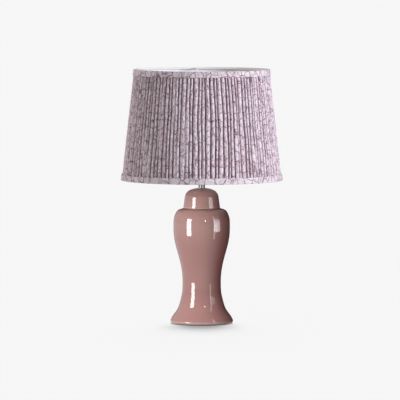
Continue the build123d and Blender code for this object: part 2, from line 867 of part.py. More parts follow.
# ---------------------------------------------------------------- labels and files
pieces = {
    "felt_pad": felt_pad,
    "jar": jar,
    "cord_grommet": cord_grommet,
    "lid_gasket": lid_gasket,
    "lid": lid,
    "floor_washer": floor_washer,
    "plate_washer": plate_washer,
    "rod_nut": rod_nut,
    "threaded_rod": threaded_rod,
    "neck_washer": neck_washer,
    "neck_tube": neck_tube,
    "lock_nut": lock_nut,
    "holder_cap": holder_cap,
    "holder_shell": holder_shell,
    "holder_core": holder_core,
    "screw_shell": screw_shell,
    "centre_contact": centre_contact,
    "terminal_screws": terminal_screws,
    "push_bar": push_bar,
    "push_buttons": push_buttons,
    "lower_shade_ring": lower_shade_ring,
    "upper_shade_ring": upper_shade_ring,
    "carrier_gallery": carrier_gallery,
    "carrier_arms": carrier_arms,
    "carrier_ring": carrier_ring,
    "bulb_tip": bulb_tip,
    "bulb_insulator": bulb_insulator,
    "bulb_cap": bulb_cap,
    "bulb_collar": bulb_collar,
    "bulb_globe": bulb_globe,
    "shade_top_ring": shade_top_ring,
    "shade_bottom_ring": shade_bottom_ring,
    "fitter_ring": fitter_ring,
    "spider_arms": spider_arms,
    "shade_lining": shade_lining,
    "shade_cover": shade_cover,
    "bottom_band": bottom_band,
    "top_band": top_band,
}

for piece_name, piece in pieces.items():
    piece.part.label = piece_name
    export_step(piece.part, f"parts/{piece_name}.step")
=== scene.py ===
"""Ginger jar lamp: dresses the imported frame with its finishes, cloth and studio.

Everything is in metres, in the frame's own coordinates: +Z up, the origin on the floor
under the jar, and the camera on the -Y side.
"""

import logging
from dataclasses import dataclass, field
from enum import Enum
from math import cos, hypot, pi, radians, sin
from typing import Any, Iterable, Sequence

import bpy
import numpy as np
from mathutils import Euler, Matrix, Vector


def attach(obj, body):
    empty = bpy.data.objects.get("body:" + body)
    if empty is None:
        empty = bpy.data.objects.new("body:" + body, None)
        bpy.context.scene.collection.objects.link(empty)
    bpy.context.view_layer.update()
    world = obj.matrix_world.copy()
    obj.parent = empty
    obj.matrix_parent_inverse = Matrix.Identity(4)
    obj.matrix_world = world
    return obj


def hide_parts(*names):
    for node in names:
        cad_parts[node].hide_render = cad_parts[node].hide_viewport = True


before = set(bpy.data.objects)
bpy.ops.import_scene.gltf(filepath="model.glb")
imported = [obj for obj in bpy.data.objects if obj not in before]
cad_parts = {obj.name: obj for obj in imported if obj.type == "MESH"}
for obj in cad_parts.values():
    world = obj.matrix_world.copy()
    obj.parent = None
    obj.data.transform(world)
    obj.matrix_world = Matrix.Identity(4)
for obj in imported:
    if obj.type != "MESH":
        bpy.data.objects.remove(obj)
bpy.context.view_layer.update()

LOG = logging.getLogger("ginger_jar_lamp")

Colour = tuple[float, float, float]
Point = tuple[float, float, float]
Range = tuple[float, float]
MM = 0.001
NOISE_REACH: Range = (0.3, 0.7)  # where most of a noise's values lie


# ---------------------------------------------------------------- shader toolkit
class Wire:
    """An output socket of a node tree, with arithmetic that adds Math nodes."""

    def __init__(self, graph: "Graph", socket: bpy.types.NodeSocket) -> None:
        """Keep the socket and the graph that it belongs to."""
        self.graph = graph
        self.socket = socket

    def _maths(self, operation: str, *values: "Value", clamp: bool = False) -> "Wire":
        """Add a Math node on these values, in order.

        Args:
            operation: the Math node's operation.
            values: wires or numbers, one for each input.
            clamp: whether the result is held between 0 and 1.

        Returns:
            The node's output.
        """
        settings = {"operation": operation, "use_clamp": clamp}
        return self.graph.node("ShaderNodeMath", settings, dict(enumerate(values)))

    def __add__(self, other: "Value") -> "Wire":
        """Return self + other."""
        return self._maths("ADD", self, other)

    __radd__ = __add__

    def __sub__(self, other: "Value") -> "Wire":
        """Return self - other."""
        return self._maths("SUBTRACT", self, other)

    def __rsub__(self, other: "Value") -> "Wire":
        """Return other - self."""
        return self._maths("SUBTRACT", other, self)

    def __mul__(self, other: "Value") -> "Wire":
        """Return self * other."""
        return self._maths("MULTIPLY", self, other)

    __rmul__ = __mul__

    def __truediv__(self, other: "Value") -> "Wire":
        """Return self / other."""
        return self._maths("DIVIDE", self, other)

    def __rtruediv__(self, other: "Value") -> "Wire":
        """Return other / self."""
        return self._maths("DIVIDE", other, self)

    def __pow__(self, other: "Value") -> "Wire":
        """Return self raised to other."""
        return self._maths("POWER", self, other)

    def __neg__(self) -> "Wire":
        """Return self with its sign changed."""
        return self._maths("MULTIPLY", self, -1.0)

    def __lt__(self, other: "Value") -> "Wire":
        """Return 1 where self is below other, else 0."""
        return self._maths("LESS_THAN", self, other)

    def __gt__(self, other: "Value") -> "Wire":
        """Return 1 where self is above other, else 0."""
        return self._maths("GREATER_THAN", self, other)

    def sine(self) -> "Wire":
        """Return the sine of self, in radians."""
        return self._maths("SINE", self)

    def fraction(self) -> "Wire":
        """Return the part of self after the decimal point."""
        return self._maths("FRACT", self)

    def size(self) -> "Wire":
        """Return self without its sign."""
        return self._maths("ABSOLUTE", self)

    def most(self, other: "Value") -> "Wire":
        """Return the larger of self and other."""
        return self._maths("MAXIMUM", self, other)

    def least(self, other: "Value") -> "Wire":
        """Return the smaller of self and other."""
        return self._maths("MINIMUM", self, other)

    def angle(self, across: "Value") -> "Wire":
        """Return the angle of the point (across, self), in radians."""
        return self._maths("ARCTAN2", self, across)

    def held(self) -> "Wire":
        """Return self held between 0 and 1."""
        return self._maths("ADD", self, 0.0, clamp=True)

    def fade(self, low: float, high: float) -> "Wire":
        """Return a smooth step of self: 0 at low, 1 at high.

        Args:
            low: value of self at which the step starts.
            high: value of self at which it is complete, above or below low.

        Returns:
            The step, from 0 to 1.
        """
        settings = {"interpolation_type": "SMOOTHSTEP"}
        inputs = {"Value": self, "From Min": low, "From Max": high}
        if high >= low:
            return self.graph.node("ShaderNodeMapRange", settings, inputs)
        inputs = {"Value": self, "From Min": high, "From Max": low}
        return 1 - self.graph.node("ShaderNodeMapRange", settings, inputs)

    def other(self, name: str | int) -> "Wire":
        """Return another output of the same node."""
        return Wire(self.graph, self.socket.node.outputs[name])


Value = Wire | float | int | Sequence[float]


class Space(Enum):
    """Where a pattern's coordinates come from."""

    OBJECT = "Object"
    GENERATED = "Generated"


class Graph:
    """A node tree under construction."""

    COLOUR_A, COLOUR_B, COLOUR_OUT = 6, 7, 2  # a Mix node's colour sockets

    def __init__(self, owner: bpy.types.Material | bpy.types.World) -> None:
        """Turn on the owner's node tree, empty it and keep it."""
        owner.use_nodes = True
        self.tree = owner.node_tree
        self.tree.nodes.clear()

    def node(
        self,
        kind: str,
        settings: dict[str, Any] | None = None,
        inputs: dict[str | int, Value] | None = None,
        output: str | int = 0,
    ) -> Wire:
        """Add a node, set it up and feed it.

        Args:
            kind: the node's type.
            settings: its properties.
            inputs: wires or values by socket name or number.
            output: which output to return.

        Returns:
            The output as a wire.
        """
        made = self.tree.nodes.new(kind)
        for name, value in (settings or {}).items():
            setattr(made, name, value)
        for key, value in (inputs or {}).items():
            socket = made.inputs[key]
            if isinstance(value, Wire):
                self.tree.links.new(value.socket, socket)
            elif socket.type == "RGBA" and len(value) == 3:
                socket.default_value = (*value, 1.0)
            else:
                socket.default_value = value
        return Wire(self, made.outputs[output] if made.outputs else made.inputs[0])

    def place(self, space: Space = Space.OBJECT) -> Wire:
        """Return the surface's coordinates in this space."""
        return self.node("ShaderNodeTexCoord", output=space.value)

    def cloth_place(self) -> Wire:
        """Return the point on the flat cloth, in metres."""
        return self.node("ShaderNodeUVMap", {"uv_map": "cloth"})

    def fold(self) -> Wire:
        """Return how deep in a fold of the cloth a place is."""
        return self.node("ShaderNodeAttribute", {"attribute_name": "fold"}, output="Fac")

    def parts(self, vector: Wire) -> tuple[Wire, Wire, Wire]:
        """Return a vector's three components."""
        split = self.node("ShaderNodeSeparateXYZ", inputs={0: vector})
        return split, split.other(1), split.other(2)

    def join(self, x: Value, y: Value, z: Value) -> Wire:
        """Return a vector made of three values."""
        return self.node("ShaderNodeCombineXYZ", inputs={0: x, 1: y, 2: z})

    def vector(self, operation: str, *values: Value) -> Wire:
        """Return a Vector Math node's vector on these values."""
        settings = {"operation": operation}
        return self.node("ShaderNodeVectorMath", settings, dict(enumerate(values)))

    def swayed(self, place: Wire, over: Wire, scale: float, reach: float) -> Wire:
        """Return coordinates pushed about by noise.

        Args:
            place: the coordinates.
            over: the coordinates at which the noise is read.
            scale: swings in a metre.
            reach: how far the noise pushes, in metres.

        Returns:
            The pushed coordinates.
        """
        push = self.noise(over, scale).other("Color")
        return self.vector("ADD", place, self.vector("MULTIPLY", push, (reach,) * 3))

    def weave(self, thread: float) -> Wire:
        """Return a plain weave's height on the flat cloth, its threads this far apart."""
        along, up, _ = self.parts(self.cloth_place())
        warp, weft = ((axis * (pi / thread)).sine().size() for axis in (along, up))
        return warp.least(weft)

    def noise(self, place: Wire, scale: float, detail: float = 2.0, rough: float = 0.5) -> Wire:
        """Return a noise value with features of 1 / scale metres.

        Args:
            place: the coordinates.
            scale: features in a metre.
            detail: finer layers added.
            rough: weight of the finer layers.

        Returns:
            The noise, around 0.5.
        """
        inputs = {"Vector": place, "Scale": scale, "Detail": detail, "Roughness": rough}
        return self.node("ShaderNodeTexNoise", inputs=inputs)

    def cells(self, place: Wire, scale: float, feature: str = "F1", spread: float = 1.0) -> Wire:
        """Return a Voronoi distance.

        Args:
            place: the coordinates.
            scale: cells in a metre.
            feature: which distance, such as F1 or DISTANCE_TO_EDGE.
            spread: how irregular the cells are.

        Returns:
            The distance, in cells.
        """
        inputs = {"Vector": place, "Scale": scale, "Randomness": spread}
        return self.node("ShaderNodeTexVoronoi", {"feature": feature}, inputs, "Distance")

    def mix(self, factor: Value, first: Value, second: Value) -> Wire:
        """Return a mix of two colours.

        Args:
            factor: share of the second colour.
            first: the colour at 0.
            second: the colour at 1.

        Returns:
            The mixed colour.
        """
        inputs = {0: factor, self.COLOUR_A: first, self.COLOUR_B: second}
        return self.node("ShaderNodeMix", {"data_type": "RGBA"}, inputs, self.COLOUR_OUT)

    def bump(self, height: Wire, depth: float, under: Wire | None = None) -> Wire:
        """Return a normal bent by a height from 0 to 1.

        Args:
            height: the relief.
            depth: metres between height 0 and 1.
            under: a normal to add it to.

        Returns:
            The bent normal.
        """
        inputs: dict[str | int, Value] = {"Distance": depth, "Height": height, "Strength": 1.0}
        if under is not None:
            inputs["Normal"] = under
        return self.node("ShaderNodeBump", inputs=inputs)

    def around(self) -> tuple[Wire, Wire, Wire]:
        """Return the distance from the lamp's axis, the angle round it and the level."""
        x, y, z = self.parts(self.place())
        return (x * x + y * y) ** 0.5, y.angle(x), z


# ---------------------------------------------------------------- finishes
_MADE: dict[str, bpy.types.Material] = {}


@dataclass(frozen=True)
class Finish:
    """A surface finish; a subclass says what varies over it."""

    name: str
    colour: Colour
    roughness: float

    def fixed(self) -> dict[str, Value]:
        """Return the shader's values that are the same all over."""
        return {}

    def varied(self, graph: Graph) -> dict[str, Value]:
        """Return the shader's inputs that vary over the surface."""
        return {}

    def material(self) -> bpy.types.Material:
        """Return the finish's material, made once."""
        if self.name in _MADE:
            return _MADE[self.name]
        made = bpy.data.materials.new(self.name)
        graph = Graph(made)
        inputs: dict[str | int, Value] = {
            "Base Color": self.colour,
            "Roughness": self.roughness,
            **self.fixed(),
            **self.varied(graph),
        }
        shader = graph.node("ShaderNodeBsdfPrincipled", inputs=inputs)
        graph.node("ShaderNodeOutputMaterial", inputs={0: shader})
        _MADE[self.name] = made
        return made

    def dress(self, *pieces: bpy.types.Object) -> None:
        """Put the finish on these pieces, in place of what they have."""
        for piece in pieces:
            piece.data.materials.clear()
            piece.data.materials.append(self.material())
            if hasattr(piece.data, "polygons"):
                piece.data.polygons.foreach_set(
                    "material_index", np.zeros(len(piece.data.polygons), dtype=np.int32)
                )


def shaded(colour: Colour, share: float) -> Colour:
    """Return a colour at this share of its brightness."""
    return tuple(min(1.0, channel * share) for channel in colour)


@dataclass(frozen=True)
class Glaze(Finish):
    """Thick glossy glaze over pale clay, bare on the foot's ring and under the jar."""

    clay: Colour = (0.56, 0.42, 0.35)
    thin_glaze_highlight: Colour = (0.62, 0.44, 0.38)
    foot_level: float = 2.3 * MM
    recess_radius: float = 53.6 * MM
    recess_level: float = 28.0 * MM
    bare_roughness: float = 0.75
    pools: tuple[float, ...] = ()
    pool_reach: Range = (3.2 * MM, 0.4 * MM)
    pool_share: float = 0.45
    # Lighter edges at these levels: thinned glaze, and painted highlight on the foot's and the
    # lid's rims.
    thin_lit_edges: tuple[float, ...] = ()
    thin_lit_edge_reach: Range = (2.4 * MM, 0.6 * MM)
    thin_lit_edge_share: float = 0.55
    # Colours by level: partly painted light, lighter where the surface faces up.
    painted_light_tints: tuple[tuple[float, float, Colour], ...] = ()
    uneven: float = 0.045
    run_down: Point = (1.0, 1.0, 0.35)
    flow_scale: float = 22.0
    flow_share: float = 0.6
    cloud_scale: float = 7.0
    cloud_share: float = 0.4
    speck_scale: float = 260.0
    speck_size: Range = (0.10, 0.06)
    speck_share: float = 0.35
    grit_scale: float = 900.0
    grit_share: float = 0.4
    wave_scale: float = 45.0
    wave_depth: float = 0.012 * MM
    pit_scale: float = 700.0
    pit_depth: float = 0.0015 * MM

    def fixed(self) -> dict[str, Value]:
        """Return the glassy coat's values."""
        return {"IOR": 1.58, "Subsurface Weight": 0.0}

    def varied(self, graph: Graph) -> dict[str, Value]:
        """Return colour, gloss and relief: flow marks, specks, pools, thin glaze, painted light,
        bare clay.
        """
        place = graph.place()
        radius, _, level = graph.around()
        runs = graph.vector("MULTIPLY", place, self.run_down)
        flow = graph.noise(runs, self.flow_scale, 3, 0.55)
        cloud = graph.noise(place, self.cloud_scale, 1)
        # Tints by level: partly painted light on the shoulder and the flared foot, which face up.
        tones = []
        for strength in (1 - self.uneven, 1 + self.uneven):
            tone = shaded(self.colour, strength)
            for start, full, tint in self.painted_light_tints:
                tone = graph.mix(level.fade(start, full), tone, shaded(tint, strength))
            tones.append(tone)
        mottle = flow.fade(*NOISE_REACH) * self.flow_share
        mottle = mottle + cloud.fade(*NOISE_REACH) * self.cloud_share
        tone = graph.mix(mottle, *tones)
        speck = graph.cells(place, self.speck_scale).fade(*self.speck_size)
        speck = speck * graph.noise(place, 90).fade(0.55, 0.7)
        tone = graph.mix(speck * self.speck_share, tone, shaded(self.colour, 0.6))
        for pool in self.pools:
            depth = (level - pool).size().fade(*self.pool_reach)
            tone = graph.mix(depth * self.pool_share, tone, shaded(self.colour, 0.55))
        # Painted highlight and thinned glaze: lighter along the rims.
        for edge in self.thin_lit_edges:
            thin = (level - edge).size().fade(*self.thin_lit_edge_reach)
            tone = graph.mix(thin * self.thin_lit_edge_share, tone, self.thin_glaze_highlight)
        recess = (radius < self.recess_radius) * (level < self.recess_level)
        bare = ((level < self.foot_level) + recess).held()
        grit = graph.noise(place, self.grit_scale, 3, 0.7)
        clay = graph.mix(grit, shaded(self.clay, 0.86), self.clay)
        waves = graph.noise(place, self.wave_scale, 1) * (1 - bare)
        waves = waves + grit * bare * self.grit_share
        pits = graph.cells(place, self.pit_scale).fade(0.0, 0.16)
        relief = graph.bump(pits, self.pit_depth, graph.bump(waves, self.wave_depth))
        gloss = cloud * 0.03 + (self.roughness - 0.015)
        return {
            "Base Color": graph.mix(bare, tone, clay),
            "Roughness": bare * self.bare_roughness + (1 - bare) * gloss,
            "Normal": relief,
        }


@dataclass(frozen=True)
class TurnedMetal(Finish):
    """Plated or bare metal, turned on a lathe: fine rings, light smears and small nicks."""

    rings: float = 2600.0
    ring_stretch: float = 0.0008
    smear: float = 0.10
    smear_scale: float = 55.0
    nick_scale: float = 420.0
    nick_size: Range = (0.07, 0.03)
    tarnish_scale: float = 24.0
    depth: float = 0.002 * MM

    def fixed(self) -> dict[str, Value]:
        """Return the metal's values."""
        return {"Metallic": 1.0}

    def varied(self, graph: Graph) -> dict[str, Value]:
        """Return colour, gloss and relief."""
        place = graph.place()
        radius, turn, level = graph.around()
        cut = graph.join(radius, turn * self.ring_stretch, level)
        lathe = graph.noise(cut, self.rings, 2, 0.6)
        smears = graph.noise(place, self.smear_scale, 3, 0.6)
        nicks = graph.cells(place, self.nick_scale).fade(*self.nick_size)
        tarnish = graph.noise(place, self.tarnish_scale, 2)
        dull = tarnish.fade(0.35, 0.75) * 0.5 + lathe.fade(0.3, 0.8) * 0.3
        tone = graph.mix(dull, self.colour, shaded(self.colour, 0.82))
        rough = smears.fade(0.35, 0.8) * self.smear + lathe * (0.5 * self.smear)
        return {
            "Base Color": graph.mix(nicks * 0.3, tone, shaded(self.colour, 0.5)),
            "Roughness": rough + nicks * 0.2 + self.roughness,
            "Normal": graph.bump(lathe, self.depth),
        }


@dataclass(frozen=True)
class ThreadedMetal(TurnedMetal):
    """Turned metal with a screw thread cut round the lamp's axis."""

    pitch: float = 1.0 * MM
    cut: float = 0.45 * MM
    low: float = -1.0
    high: float = 1.0

    def varied(self, graph: Graph) -> dict[str, Value]:
        """Return the turned finish with the thread's relief under it, darker in the grooves."""
        inputs = super().varied(graph)
        _, turn, level = graph.around()
        along = (level / self.pitch + turn / (2 * pi)).fraction()
        ridge = 1 - (along * 2 - 1).size()
        within = (level > self.low) * (level < self.high)
        # Darker in the thread's grooves.
        groove_darkening = within * ridge.fade(0.35, 0.0) * 0.6
        dark = shaded(self.colour, 0.25)
        inputs["Base Color"] = graph.mix(groove_darkening, inputs["Base Color"], dark)
        inputs["Normal"] = graph.bump(ridge.fade(0.1, 0.9) * within, self.cut, inputs["Normal"])
        return inputs


@dataclass(frozen=True)
class Moulded(Finish):
    """Moulded plastic or rubber: a fine grain, rubbed places and dust in the grain."""

    grain: float = 1500.0
    depth: float = 0.02 * MM
    dust: Colour = (0.5, 0.48, 0.46)
    coat: float = 0.0
    rubbed_scale: float = 70.0
    flow_scale: float = 60.0
    flow_lines: Point = (1.0, 1.0, 4.0)

    def fixed(self) -> dict[str, Value]:
        """Return the values that are the same all over."""
        return {"Coat Weight": self.coat, "Coat Roughness": 0.1}

    def varied(self, graph: Graph) -> dict[str, Value]:
        """Return colour, gloss and relief."""
        place = graph.place()
        grain = graph.noise(place, self.grain, 2, 0.6)
        rubbed = graph.noise(place, self.rubbed_scale, 3, 0.6)
        flow = graph.noise(graph.vector("MULTIPLY", place, self.flow_lines), self.flow_scale, 2)
        tone = graph.mix(flow.fade(0.35, 0.7), shaded(self.colour, 0.93), self.colour)
        return {
            "Base Color": graph.mix(grain.fade(0.62, 0.75) * 0.12, tone, self.dust),
            "Roughness": rubbed.fade(0.3, 0.75) * 0.14 + (self.roughness - 0.05),
            "Normal": graph.bump(grain, self.depth),
        }


@dataclass(frozen=True)
class Felt(Finish):
    """Pressed wool felt: tangled fibres, thin and thick places, a soft nap."""

    tangle_scale: float = 160.0
    tangle: float = 12.0 * MM
    fibres: float = 620.0
    fibre_width: Range = (0.18, 0.02)
    clump_scale: float = 120.0
    depth: float = 0.25 * MM

    def fixed(self) -> dict[str, Value]:
        """Return the nap's values."""
        return {"Sheen Weight": 0.6, "Sheen Roughness": 0.5}

    def varied(self, graph: Graph) -> dict[str, Value]:
        """Return colour and relief."""
        place = graph.place()
        tangled = graph.swayed(place, place, self.tangle_scale, self.tangle)
        strand = graph.cells(tangled, self.fibres, "DISTANCE_TO_EDGE").fade(*self.fibre_width)
        clump = graph.noise(place, self.clump_scale, 3, 0.6)
        tone = graph.mix(clump.fade(*NOISE_REACH), shaded(self.colour, 0.7), self.colour)
        return {
            "Base Color": graph.mix(strand * 0.5, tone, shaded(self.colour, 1.7)),
            "Normal": graph.bump(strand * 0.6 + clump, self.depth),
        }


@dataclass(frozen=True)
class Paint(Finish):
    """Baked paint on wire and stampings: orange peel, thin places and rubbed spots."""

    under: Colour = (0.32, 0.31, 0.30)
    peel_scale: float = 700.0
    peel_depth: float = 0.03 * MM
    thin_scale: float = 38.0
    spot_scale: float = 420.0

    def varied(self, graph: Graph) -> dict[str, Value]:
        """Return colour, gloss and relief."""
        place = graph.place()
        peel = graph.noise(place, self.peel_scale, 2)
        thin = graph.noise(place, self.thin_scale, 4, 0.7)
        worn = thin.fade(0.66, 0.74) * graph.noise(place, self.spot_scale, 2).fade(0.45, 0.6)
        tone = graph.mix(thin.fade(*NOISE_REACH), shaded(self.colour, 0.95), self.colour)
        return {
            "Base Color": graph.mix(worn * 0.7, tone, self.under),
            "Roughness": peel * 0.12 + worn * 0.2 + (self.roughness - 0.06),
            "Normal": graph.bump(peel, self.peel_depth),
        }


@dataclass(frozen=True)
class Opal(Finish):
    """Opal diffuser of the bulb: milky, faintly speckled by its frosting."""

    frost_scale: float = 1800.0
    frost_depth: float = 0.006 * MM
    haze_scale: float = 30.0

    def fixed(self) -> dict[str, Value]:
        """Return the milky body's values."""
        return {
            "Subsurface Weight": 0.35,
            "Subsurface Scale": 4.0 * MM,
            "Subsurface Radius": (1.0, 0.9, 0.8),
        }

    def varied(self, graph: Graph) -> dict[str, Value]:
        """Return colour, gloss and relief."""
        place = graph.place()
        frost = graph.noise(place, self.frost_scale, 2, 0.6)
        haze = graph.noise(place, self.haze_scale, 2)
        return {
            "Base Color": graph.mix(
                haze.fade(*NOISE_REACH), shaded(self.colour, 0.96), self.colour
            ),
            "Roughness": frost * 0.1 + (self.roughness - 0.05),
            "Normal": graph.bump(frost, self.frost_depth),
        }


@dataclass(frozen=True)
class LiningCard(Finish):
    """Cloth-faced white card: a close plain weave, a little yellowing and glue shadows."""

    thread: float = 0.42 * MM
    relief: float = 0.03 * MM
    edge_low: float = 0.3113
    edge_high: float = 0.5503
    glue: Colour = (0.70, 0.66, 0.60)
    glue_reach: Range = (9 * MM, 3 * MM)
    age_scale: float = 14.0
    slub_scale: float = 30.0
    slub_stretch: Range = (3, 40)

    def fixed(self) -> dict[str, Value]:
        """Return the cloth face's values."""
        return {"Sheen Weight": 0.08, "Specular IOR Level": 0.3}

    def varied(self, graph: Graph) -> dict[str, Value]:
        """Return colour and relief."""
        place = graph.place()
        along, up, _ = graph.parts(graph.cloth_place())
        long, wide = self.slub_stretch
        slub = graph.noise(graph.join(along * long, up * wide, 0.0), self.slub_scale, 2)
        age = graph.noise(place, self.age_scale, 3, 0.6)
        _, _, level = graph.parts(place)
        glue = (level - self.edge_low).least(self.edge_high - level).fade(*self.glue_reach)
        weave = graph.weave(self.thread)
        tone = graph.mix(age.fade(0.3, 0.75), self.colour, shaded(self.colour, 0.95))
        tone = graph.mix(glue * slub.fade(0.35, 0.7) * 0.35, tone, self.glue)
        tone = graph.mix((1 - weave) * 0.10, tone, shaded(self.colour, 0.8))
        return {"Base Color": tone, "Normal": graph.bump(weave + slub * 0.3, self.relief)}


@dataclass(frozen=True)
class PrintedCloth(Finish):
    """Thin printed cotton: a generic all-over net of vines and scales on a pale ground."""

    plum: Colour = (0.118, 0.052, 0.078)
    mauve: Colour = (0.270, 0.135, 0.185)
    blush: Colour = (0.640, 0.500, 0.570)
    rosy: Colour = (0.560, 0.320, 0.390)
    shadow: Colour = (0.145, 0.062, 0.080)
    thread: float = 0.36 * MM
    relief: float = 0.02 * MM
    net: float = 62.0
    stem_width: Range = (0.056, 0.024)
    scales: float = 175.0
    vein_width: Range = (0.105, 0.040)
    vein_share: float = 0.8
    dots: float = 330.0
    dot_size: Range = (0.30, 0.20)
    dot_share: float = 0.55
    berries: float = 150.0
    berry_size: Range = (0.22, 0.15)
    berry_share: float = 0.65
    blush_share: float = 0.45
    rosy_share: float = 0.6
    weave_share: float = 0.08
    sway: Range = (70.0, 10.0 * MM)
    curl: Range = (260.0, 3.5 * MM)
    wear_scale: float = 420.0
    break_scale: float = 110.0
    patch_scale: float = 75.0
    dot_patch_scale: float = 190.0
    drift_scale: float = 24.0
    spots: float = 1.0
    outline: float = 0.0
    fold_shade: float = 0.87

    def fixed(self) -> dict[str, Value]:
        """Return the cotton's values."""
        return {"Sheen Weight": 0.12, "Sheen Roughness": 0.5, "Specular IOR Level": 0.25}

    def varied(self, graph: Graph) -> dict[str, Value]:
        """Return the print's colour with painted shade deep in the folds, and the weave's relief.
        """
        flat = graph.cloth_place()
        bent = graph.swayed(flat, flat, *self.sway)
        curled = graph.swayed(bent, flat, *self.curl)
        wear = graph.noise(flat, self.wear_scale, 3, 0.7)
        broken = graph.noise(flat, self.break_scale, 2, 0.6).fade(0.40, 0.50) * 0.5 + 0.5
        vine = graph.cells(bent, self.net, "DISTANCE_TO_EDGE", 0.9)
        stem = vine.fade(*self.stem_width) * broken.most(self.outline)
        leaf = graph.cells(curled, self.scales, "DISTANCE_TO_EDGE")
        patch = graph.noise(flat, self.patch_scale, 2, 0.6).fade(0.44, 0.58)
        vein = leaf.fade(*self.vein_width) * wear.fade(0.40, 0.52) * (patch * 0.7 + 0.3)
        dot = graph.cells(curled, self.dots).fade(*self.dot_size)
        dot = dot * graph.noise(flat, self.dot_patch_scale, 2).fade(0.50, 0.58)
        berry = graph.cells(curled, self.berries).fade(*self.berry_size) * patch
        drift = graph.noise(flat, self.drift_scale, 2)
        weave = graph.weave(self.thread)
        tone = graph.mix(drift.fade(0.35, 0.65), self.colour, shaded(self.colour, 0.94))
        rose = drift.fade(0.54, 0.68) * patch
        for share, ink in (
            (patch * self.blush_share * self.spots, self.blush),
            (rose * self.rosy_share * self.spots, self.rosy),
            (vein * self.vein_share, self.mauve),
            (dot * self.dot_share * self.spots, self.plum),
            (berry * self.berry_share * self.spots, self.plum),
            (stem * (wear.fade(0.30, 0.45) * 0.3 + 0.6), self.plum),
            # Painted shade: the cloth darkens deep in each fold.
            (graph.fold().fade(0.22, 0.85) * self.fold_shade, self.shadow),
            ((1 - weave) * self.weave_share, self.plum),
        ):
            tone = graph.mix(share, tone, ink)
        return {"Base Color": tone, "Normal": graph.bump(weave, self.relief)}


class Finishes:
    """Every finish that the lamp uses."""

    JAR = Glaze(
        "rose_glaze", (0.395, 0.192, 0.175), 0.055, pools=(0.2497,), thin_lit_edges=(0.0059,),
        painted_light_tints=((0.165, 0.215, (0.414, 0.224, 0.202)), (0.078, 0.030, (0.440, 0.220, 0.201))),
    )
    # Painted light: the lid's glaze is lighter than the jar's, against the shade that the
    # lampshade casts on it.
    LID_PAINTED_LIGHTER = Glaze(
        "rose_glaze_lid_painted_lighter", (0.480, 0.260, 0.236), 0.055, recess_radius=0.034, recess_level=0.2508,
        pools=(0.2505,), thin_lit_edges=(0.2516,), foot_level=0.2504,
    )
    NICKEL = TurnedMetal("bright_nickel", (0.66, 0.63, 0.58), 0.10)
    # Nickel darkened to a fraction of its colour: painted shade that makes the neck's reflections
    # dark.
    NECK = TurnedMetal("neck_nickel_painted_dark", (0.12, 0.114, 0.104), 0.06)
    ZINC = TurnedMetal("zinc_plate", (0.60, 0.61, 0.62), 0.30, rings=900.0, smear=0.2)
    ZINC_THREAD = ThreadedMetal("zinc_rod", (0.58, 0.57, 0.52), 0.30, smear=0.2)
    BRASS = TurnedMetal("pressed_brass", (0.72, 0.52, 0.25), 0.22, smear=0.15)
    SHELL = ThreadedMetal(
        "nickel_thread", (0.66, 0.63, 0.58), 0.16, pitch=2.4 * MM, cut=0.5 * MM,
        low=0.3505, high=0.3725,
    )
    SOLDER = TurnedMetal("lead_free_solder", (0.56, 0.56, 0.57), 0.38, rings=300.0)
    PORCELAIN = Moulded("lamp_porcelain", (0.80, 0.78, 0.73), 0.25, grain=500.0, coat=0.4)
    BLACK_GLASS = Moulded("black_glass", (0.012, 0.012, 0.014), 0.12, grain=400.0, coat=0.5)
    BLACK_PLASTIC = Moulded("black_plastic", (0.018, 0.018, 0.019), 0.38)
    WHITE_PLASTIC = Moulded("white_plastic", (0.78, 0.78, 0.76), 0.34, dust=(0.6, 0.58, 0.55))
    CLEAR_WASHER = Moulded("clear_washer", (0.52, 0.50, 0.47), 0.22, coat=0.3)
    RUBBER = Moulded("black_rubber", (0.02, 0.02, 0.02), 0.62, grain=900.0, depth=0.05 * MM)
    GASKET = Moulded("seam_gasket", (0.26, 0.13, 0.115), 0.6, grain=900.0, depth=0.05 * MM)
    FELT = Felt("charcoal_felt", (0.035, 0.033, 0.036), 0.95)
    PAINT = Paint("white_wire_paint", (0.78, 0.78, 0.76), 0.34)
    OPAL = Opal("opal_diffuser", (0.84, 0.83, 0.80), 0.30)
    LINING = LiningCard("white_lining", (0.87, 0.865, 0.875), 0.8)
    PRINT = PrintedCloth("vine_print", (0.780, 0.700, 0.730), 0.86)
    # Painted shade: the same cloth as the gathers, its ground a little darker on the flat bands.
    BAND_PRINT_PAINTED_DARKER = PrintedCloth(
        "vine_print_flat", (0.738, 0.660, 0.692), 0.86, spots=0.3, outline=0.9
    )


# ---------------------------------------------------------------- helpers
def link(made: bpy.types.Object) -> bpy.types.Object:
    """Put an object in the scene and return it."""
    bpy.context.scene.collection.objects.link(made)
    return made


def group(name: str, pieces: Iterable[bpy.types.Object]) -> bpy.types.Collection:
    """Return a new collection of these pieces, for lights to name."""
    made = bpy.data.collections.new(name)
    for piece in pieces:
        made.objects.link(piece)
    return made


def towards(place: Sequence[float], aim: Sequence[float]) -> Euler:
    """Return the turn that points a camera or lamp at this place towards its aim."""
    return (Vector(aim) - Vector(place)).to_track_quat("-Z", "Y").to_euler()


